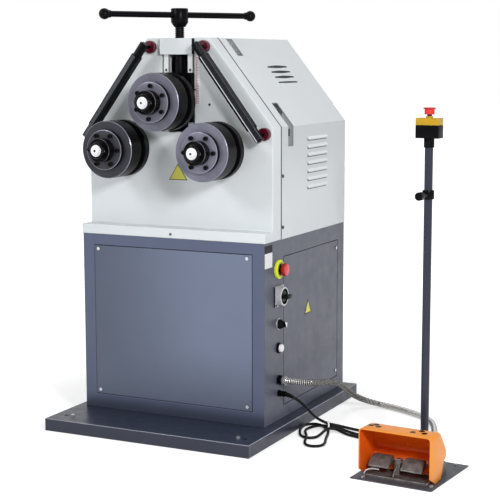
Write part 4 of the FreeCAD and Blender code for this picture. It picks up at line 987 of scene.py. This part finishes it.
class RR_OT_head(bpy.types.Operator):
    """Dress the casting, its hood, the guide gibs and the scale"""

    bl_idname = "ring_roller.head"
    bl_label = "Head"

    def execute(self, context):
        sizes = context.scene.ring_roller_sizes
        rounded_node("front_casting", sizes.cast_edge / MM, "head", 26, 3)
        # The rear hood wears painted shade in its recesses and towards the top of its sides, and a
        # painted highlight on its louvre blades.
        rounded_node("rear_hood", 0.7, ("head", "recess", "louvre", "head_side"), 30,
                     pick=hood_shade)
        seed = bmesh.new()
        for span in both_sides(327.9, 328.5, (-2.6, 155), (-14.6, -9)):
            block(seed, *span, 0.2, 1)
        grown("louvre_shadows", seed, row_pattern(), "rail_grey", slot="head_white", Count=7,
              Start=(0, 0, LOUVRES[0] * MM), Step=(0, 0, -LOUVRES[1] * MM))
        # Dark patches paint the shaded insides of the strap holes.
        block_piece("strap_holes", both_sides(325.9, 326.3, (-151.5, -137), (932, 955)), "seal",
                    0.1, 1)
        # Dark lens-shaped patches paint the shade in the slits.
        shape = bmesh.new()
        for number in range(4):
            slope_patch(shape, SLIT_SPAN, 230 - 21.1 * number, 11 if number < 3 else 7)
        add_piece("slit_lips", shape, "plastic")
        rounded_node("head_block", 1.5, "head", 9)
        # Dark strips paint the shade on the slot's rebates and walls and along the casting's seam
        # with the hood.
        shape = bmesh.new()
        for span in (both_sides(57.2, 58.15, (-277.4, -253), (1186, 1234))
                     + both_sides(51.4, 57.8, (-253, -252.1), (944.3, 1184.3))):
            block(shape, *span)
        for first, second in zip(HEAD_OUTLINE, HEAD_OUTLINE[1:]):
            way = Vector((second[0] - first[0], second[1] - first[1])).normalized()
            out = Vector((-way.y, way.x)) * 0.35
            prism(shape, [(spot[0] + out.x * far, spot[1] + out.y * far)
                          for spot, far in ((first, 1), (second, 1), (second, -2), (first, -2))],
                  -206.4, -201)
        add_piece("seam_seals", shape, "seal")
        for node, material in (
                ("guide_gibs", "bright"), ("position_scale", "plate"), ("drive_frame", "gear"),
                ("shaft_bushes", "bronze"), ("gearbox", "motor"), ("motor", "motor"),
                ("control_gear", "beige")):
            coat_node(node, material)
        for title, count, start, step, width, tall in (
                ("scale_fine_marks", 29, 1035, 5, 5, 0.6),
                ("scale_long_marks", 15, 1035, 10, 8, 0.7),
                ("scale_low_marks", 12, 1035, 5, 10, 0.9), ("scale_line", 1, 1105, 5, 1, 72)):
            shape = bmesh.new()
            block(shape, (0, width), (-0.3, 0.2), (-tall, tall))
            grown(title, shape, row_pattern(), "red_line", Count=count,
                  Start=(*SCALE_EDGE, start * MM), Step=(0, 0, step * MM))
        sign_plate("front_sign_plate", (-35, 30.5, 793, 845, -3), (-31, 26.6, 795.2, 841, -3),
                   ((-264.5, -264), (-264.8, -264.4)), "Y")
        return {"FINISHED"}


class RR_OT_rails(bpy.types.Operator):
    """Dress the side guide rails, their studs and their caps"""

    bl_idname = "ring_roller.rails"
    bl_label = "Guide rails"

    def execute(self, context):
        rounded_node("guide_rails", 1.8, "black", 9, 3)
        coat_node("rail_standoffs", "black")
        # Each rail gets strips of painted highlight along it, and ridges in a dark colour; the
        # right rail's dark grey is a faint painted highlight.
        for title, side, highlight_strips, ridge, paint, wear in (
                ("right", 1, ((-7, -4.3, "rail_line"), (12.4, 13.4, "rail_grey")),
                 (-3.4, 11.6), "rail_ridge", -327.2),
                ("left", -1, ((-2.1, 10.4, "rail_grey"),), (-2.1, 10.4), "black", -327.4)):
            for index, (near, far, line) in enumerate(highlight_strips):
                shape = bmesh.new()
                rail_strip(shape, side, (47.5, 366.5), (near, far), (-327.2, -326))
                add_piece("%s_rail_line_%d" % (title, index + 1), shape, line)
            shape = bmesh.new()
            rail_strip(shape, side, (48, 49.7), ridge, (wear, -326))
            grown(title + "_rail_ridges", shape, row_pattern(), paint, Count=74,
                  Start=(0, 0, 0),
                  Step=(side * RAIL_X * RIDGE_PITCH, 0, -RAIL_Z * RIDGE_PITCH))
        # Each cap gets a dark bar across its face: partly the stud that runs into it, partly the
        # stud's painted shadow.
        shape = bmesh.new()
        for x, z in ((94.7, 1208), (301.5, 943.1)):
            for side in (-1, 1):
                spin_ring(shape, [(-264, 0), (-264, 20), (-277, 20), (-279, 18), (-279, 0)],
                          (x * side, z), "Y", 48)
                block(shape, (x * side - 19.2, x * side + 19.2), (-279.4, -270),
                      (z - 1.3, z + 1.3))
                for face in list(shape.faces)[-6:]:
                    face.material_index = 1
        add_piece("cap_discs", shape, ("crimson", "crimson_dark"), nodes=("rail_caps",))
        return {"FINISHED"}


# ---- Rolls, slide and feed screw ------------------------------------------------------------


class RR_OT_rolls(bpy.types.Operator):
    """Dress the three rolls with their clamp hubs, nuts and cap screws"""

    bl_idname = "ring_roller.rolls"
    bl_label = "Rolls"

    def execute(self, context):
        count = context.scene.ring_roller_sizes.clamp_screws
        pattern = ring_pattern()
        for title, centre in ROLL_CENTRES.items():
            body = title + "_roll"
            band, front_face, edge, bright, dark = roll_finishes(title, centre)
            steel = (band, front_face, edge)
            turned_group(title + "_rings", [([
                (back, 25), (back, radius - ROLL_LIP),
                (back - ROLL_LIP * 0.4, radius - ROLL_LIP * 0.4), (back - ROLL_LIP, radius),
                (front + ROLL_LIP, radius), (front + ROLL_LIP * 0.4, radius - ROLL_LIP * 0.4),
                (front, radius - ROLL_LIP), (front, 25)], centre)
                for back, front, radius in ROLL_RINGS], steel, body, "Y", 128,
                nodes=(title + "_roll_rings",), pick=roll_shade)
            # The hub's front end keeps the dark band, and its flange face takes the painted
            # reflection.
            turned_piece(title + "_hub", [
                (-421.7, 25), (-421.7, 61), (-422.5, 62), (-437.6, 62), (-438.6, 61.5),
                (-439, 60.5), (-439, 37), (-467.5, 37), (-468.6, 36.6), (-469, 35.5),
                (-469, 33.5), (-463, 33), (-463, 25)], centre, steel, body,
                nodes=(title + "_clamp_hub",), pick=lambda face: (
                    0 if face.center.y < -0.4395 and face.normal.y < -0.93
                    else roll_shade(face)))
            # The lock nut's rounded edges take the painted highlight.
            rounded_node(title + "_lock_nut", 0.5, (band, edge), 2.2)
            coat_node(title + "_shaft", (bright, dark))
            # A dark disc on the shaft's tip paints the centre hole's shade.
            turned_piece(title + "_centre_hole", [
                (-492.1, 0), (-492.1, 3.6), (-491.5, 4.2), (-491.5, 0)], centre, dark, body,
                steps=24, slot="roll_steel")
            grown(title + "_clamp_screws", cap_screw(6.8, 8), pattern, band, body,
                  "roll_steel", Count=count, Radius=0.050,
                  Start_Turn=math.radians(34) if title == "top" else 0.0,
                  Centre=(centre[0] * MM, -0.439, centre[1] * MM))
        for node in ("left_gear", "right_gear", "pinion_shaft"):
            coat_node(node, "gear")
        return {"FINISHED"}


class RR_OT_feed(bpy.types.Operator):
    """Dress the top slide, the threaded feed screw and the T-handle"""

    bl_idname = "ring_roller.feed"
    bl_label = "Feed screw and slide"

    def execute(self, context):
        pitch = context.scene.ring_roller_sizes.thread_pitch / MM
        rounded_node("top_slide_block", 1.2, "black", 9)
        block_piece("slide_apron", [((-33, 33), (-215, -213), (1129.2, 1172))], "black", 0.5, 1,
                    body=BODY_OF["top_slide_block"])
        shape = bmesh.new()
        crests = []
        for index in range(int((THREAD_HIGH - THREAD_LOW) / pitch * THREAD_STEPS) + 1):
            angle = math.tau * index / THREAD_STEPS
            base = THREAD_LOW + pitch * (index / THREAD_STEPS - 1)
            crests.append([shape.verts.new((
                radius * math.cos(angle), radius * math.sin(angle) + SCREW_LINE,
                min(max(base + pitch * share, THREAD_LOW), THREAD_HIGH)))
                for share, radius in THREAD_FORM])
        for first, second in zip(crests, crests[1:]):
            for n in range(len(THREAD_FORM) - 1):
                shape.faces.new((first[n], second[n], second[n + 1], first[n + 1]))
        bmesh.ops.remove_doubles(shape, verts=shape.verts, dist=0.001)
        spin_ring(shape, [(1104.3, 0), (1104.3, 11), (THREAD_LOW, 11), (THREAD_LOW, 13),
                          (THREAD_HIGH, 13), (THREAD_HIGH, 0)], (0, SCREW_LINE), "Z", 48)
        steel = turned_metal("feed_screw_steel", srgb(22, 22, 25), (0, SCREW_LINE, 0), "Z", 0.26,
                             0.5, gloss=0.2)
        add_piece("threaded_screw", shape, steel, "screw_and_handle", ("feed_screw",))
        place = Matrix.Translation((0, SCREW_LINE * MM, 0)) @ Matrix.Rotation(
            math.radians(BAR_TURN), 4, "Z")
        turned_piece("handle_boss", [
            (1269.5, 15.1), (1269.5, 17.5), (1271, 18.5), (1283, 26.4), (1285, 27),
            (1324, 27), (1326.4, 25.6), (1327, 24), (1327, 0), (1290.1, 0), (1290.1, 15.1)],
            (0, 0), "black", "screw_and_handle", "Z", nodes=("handle_hub",), matrix=place)
        turned_piece("cross_bar", [(-248, 0), (-248, 9.3), (248, 9.3), (248, 0)], (0, BAR_HEIGHT),
                     "black", "screw_and_handle", "X", 40, nodes=("handle_bar",), matrix=place)
        forms = []
        for side in (-1, 1):
            arc = [(side * (256 + 17 * math.cos(math.pi * n / 16)),
                    17 * math.sin(math.pi * n / 16) if 0 < n < 16 else 0) for n in range(17)]
            neck = [(side * along, radius) for along, radius in (
                (236, 0), (236, 11), (243, 12.2), (250, 12.2), (250, 0))]
            forms += [(arc, (0, BAR_HEIGHT)), (neck, (0, BAR_HEIGHT))]
        turned_group("bar_balls", forms, "plastic", "screw_and_handle", "X", 40, matrix=place)
        return {"FINISHED"}


# ---- Controls, post and foot switch ----------------------------------------------------------


def switch_shade(face):
    """The main switch's plate: silver body, black inside the funnel, bright rim, and black on its
    side face towards -Y as painted shade.
    """
    along, across, up = face.center / MM
    if along > 346.5:
        return 2
    if along < 330:
        return int(face.normal.y < -0.8)
    return int(math.dist((across, up), SWITCH_CENTRE) < 27.5)


class RR_OT_controls(bpy.types.Operator):
    """Dress the buttons, the main switch and the glands on the cabinet's side"""

    bl_idname = "ring_roller.controls"
    bl_label = "Controls"

    def execute(self, context):
        # The button's sides take painted shade and its stem the black plastic.
        turned_piece("stop_mushroom", [
            (305, 0), (305, 11.9), (339.4, 11.9), (339.5, 14), (340.5, 17.5), (343, 19.4),
            (346, 20), (352.5, 19.2), (354.4, 18), (355, 16.5), (355, 0)],
            STOP_CENTRE, ("stop", "stop_side", "plastic"), "machine_stop", "X",
            nodes=("estop_button",), pick=lambda face: (
                2 if face.center.x < 0.33945 else int(abs(face.normal.x) < 0.75)))
        # The inner black ring paints the shade round the button's stem; the outer one is a thin
        # dark ring.
        turned_group("collar_rings", [
            ([(333.8, inner), (front, inner), (front, outer), (333.8, outer)], STOP_CENTRE)
            for inner, outer, front in ((12.1, 19.6, 334.9), (22.2, 23, 334.2))],
            "plastic", axis="X", steps=64)
        coat_node("main_switch_plate", ("switch", "plastic", "zinc"), switch_shade)
        block_piece("switch_mark", [((328.8, 329.5), (-247.5, -238), (408.6, 414.5))],
                    "plastic", 0.2, 1)
        rounded_node("main_switch_knob", 1.4, "plastic", 8, 3)
        coat_node("selector_knob", ("plastic", "white"),
                  pick=lambda face: int(face.center.x > 0.3515))
        for node, material in (("estop_collar", "collar"), ("button_bezels", "plastic"),
                               ("start_button", "white"), ("cable_glands", "plastic")):
            coat_node(node, material)
        turned_piece("selector_ring", [
            (325, 15.6), (325, 17.4), (327, 17.4), (327.8, 16.6), (327.8, 15.6)],
            SELECTOR_CENTRE, "zinc", axis="X")
        turned_piece("hose_ferrule", [
            (341, 10), (341, 14.3), (341.6, 14.6), (351.4, 14.6), (352, 14), (352, 10)],
            HOSE_CENTRE, "zinc", axis="X")
        return {"FINISHED"}


class RR_OT_post(bpy.types.Operator):
    """Dress the floor plate, the post and the pendant stop"""

    bl_idname = "ring_roller.post"
    bl_label = "Post and pendant"

    def execute(self, context):
        rounded_node("floor_plate", 0.8, "deck", 60)
        coat_node("pedestal_pole", "pole")
        coat_node("pole_grip", "plastic")
        rounded_node("pendant_box", 1.6, "plastic", 15, 3)
        rounded_node("pendant_lid", 1.6, "lid", 15, 3)
        # The pendant button's rim sides take painted shade and its stem the black plastic.
        turned_piece("pendant_mushroom", [
            (990, 0), (990, 6.95), (1014, 6.95), (1014, 13.4), (1015.2, 14.5), (1029, 14.5),
            (1030.2, 18.6), (1031.2, 19), (1032.6, 18.8), (1034, 15.5), (1034, 0)],
            PENDANT_CENTRE, ("stop", "stop_side", "plastic"), "pendant_stop", "Z",
            nodes=("pendant_estop_button",), matrix=POST, pick=lambda face: (
                2 if face.center.z < 1.0139 else int(
                    face.center.z > 1.0295 and face.normal.z < 0.7)))
        turned_piece("grip_sleeve", [
            (774.2, 12.2), (774.2, 16.2), (776.5, 17), (797.5, 17), (799.8, 16.2),
            (799.8, 12.2)], PENDANT_CENTRE, "plastic", axis="Z", steps=40, matrix=POST)
        return {"FINISHED"}


class RR_OT_foot_switch(bpy.types.Operator):
    """Dress the foot switch: its hood, base and pedals"""

    bl_idname = "ring_roller.foot_switch"
    bl_label = "Foot switch"

    def execute(self, context):
        shape = bmesh.new()
        outline = [(-112, 25), (-112, 143), (-37, 143), (4.5, 88), (10, 62), (-10, 50),
                   (-28, 9.5), (-76, 4)]
        prism(shape, outline, -110, 110, "X")
        shape.normal_update()
        gone = [face for face in shape.faces if abs(face.normal.x) < 0.5 and (
            face.calc_center_median().y < -90 or face.calc_center_median().z < 12)]
        bmesh.ops.delete(shape, geom=gone, context="FACES")
        round_edges(shape, 11, 5)
        hood = add_piece("orange_hood", shape, "hood", nodes=("foot_hood",), smooth=40,
                         matrix=POST)
        # The hood's inner wall takes painted shade.
        hood.data.materials.append(finish("hood_inside"))
        with_values(hood.modifiers.new("Wall", "SOLIDIFY"), {
            "thickness": 0.004, "offset": -1, "use_even_offset": True, "material_offset": 1})
        with_values(hood.modifiers.new("Rim", "BEVEL"), {
            "width": 0.0012, "segments": 2, "limit_method": "ANGLE",
            "angle_limit": math.radians(50)})
        turned_group("hood_plugs", [
            ([(143, 0), (143, 8.4), (143.5, 8.4), (144, 7.6), (144, 0)], spot)
            for spot in ((-91, -70), (-80, -57), (-66, -74), (41, -78), (59, -57), (75, -76))],
            "plastic", axis="Z", steps=28, matrix=POST)
        rounded_node("foot_base", 1.2, ("foot", "foot_edge"), 12)
        shape = bmesh.new()
        rod = [Vector(spot) * MM for spot in (
            (-97, -100, 9), (-95, -98.5, 15), (-91, -96.5, 19.5), (-85, -95, 22.5),
            (-76, -93.5, 24), (-66, -92, 24.5), (-55, -91, 24.5))]
        swept(shape, rod, [0.0022] * len(rod), 12)
        add_piece("pedal_rod", shape, "zinc", matrix=POST, scale=1)
        grown("floor_bolts", bolt_head(6, 4.5), corner_pattern(), "zinc", Width=0.2,
              Depth=0.225, Centre=(0.839, -0.4325, 0.004))
        for title, span, body in (("left", (-93, -29), "left_treadle"),
                                  ("right", (6, 71), "right_treadle")):
            shape = bmesh.new()
            prism(shape, [(-83, 28), (-83, 32), (-68, 49), (-52, 57), (-40, 56), (-33, 49),
                          (-33, 38), (-39, 34), (-60, 30)], span[0], span[1], "X")
            round_edges(shape, 3, 3)
            middle = (span[0] + span[1]) / 2
            for vert in shape.verts:
                back = min(1.0, max(0.0, (vert.co.y + 80) / 45))
                vert.co.x = middle + (vert.co.x - middle) * (1 - 0.2 * back)
            add_piece(title + "_tread", shape, "foot", body, (title + "_pedal",), matrix=POST)
            block_piece(title + "_tread_edge", [
                ((span[0] + 3, span[1] - 3), (-83.8, -82.4), (28.6, 31.4))], "foot_edge", 0.5, 1,
                body=body, matrix=POST)
        return {"FINISHED"}


# ---- Panel and running -----------------------------------------------------------------------

STEPS = (
    RR_OT_stage, RR_OT_hose, RR_OT_mains_cord, RR_OT_plinth, RR_OT_cabinet, RR_OT_head,
    RR_OT_rails, RR_OT_rolls, RR_OT_feed, RR_OT_controls, RR_OT_post, RR_OT_foot_switch,
)


class RR_PT_panel(bpy.types.Panel):
    """Lists the ring roller's settings and steps"""

    bl_idname = "RR_PT_panel"
    bl_label = "Ring Roller"
    bl_space_type = "VIEW_3D"
    bl_region_type = "UI"
    bl_category = "Ring Roller"

    def draw(self, context):
        for group in (context.scene.ring_roller_paint, context.scene.ring_roller_sizes):
            for key in group.bl_rna.properties.keys():
                if key not in ("rna_type", "name"):
                    self.layout.prop(group, key)
        for step in STEPS:
            self.layout.operator(step.bl_idname)


CLASSES = (RingRollerPaint, RingRollerSizes) + STEPS + (RR_PT_panel,)


def register():
    for item in CLASSES:
        bpy.utils.register_class(item)
    bpy.types.Scene.ring_roller_paint = PointerProperty(type=RingRollerPaint)
    bpy.types.Scene.ring_roller_sizes = PointerProperty(type=RingRollerSizes)


def unregister():
    del bpy.types.Scene.ring_roller_sizes
    del bpy.types.Scene.ring_roller_paint
    for item in reversed(CLASSES):
        bpy.utils.unregister_class(item)


def main():
    register()
    for step in STEPS:
        family, action = step.bl_idname.split(".")
        getattr(getattr(bpy.ops, family), action)()


if __name__ == "__main__":
    main()
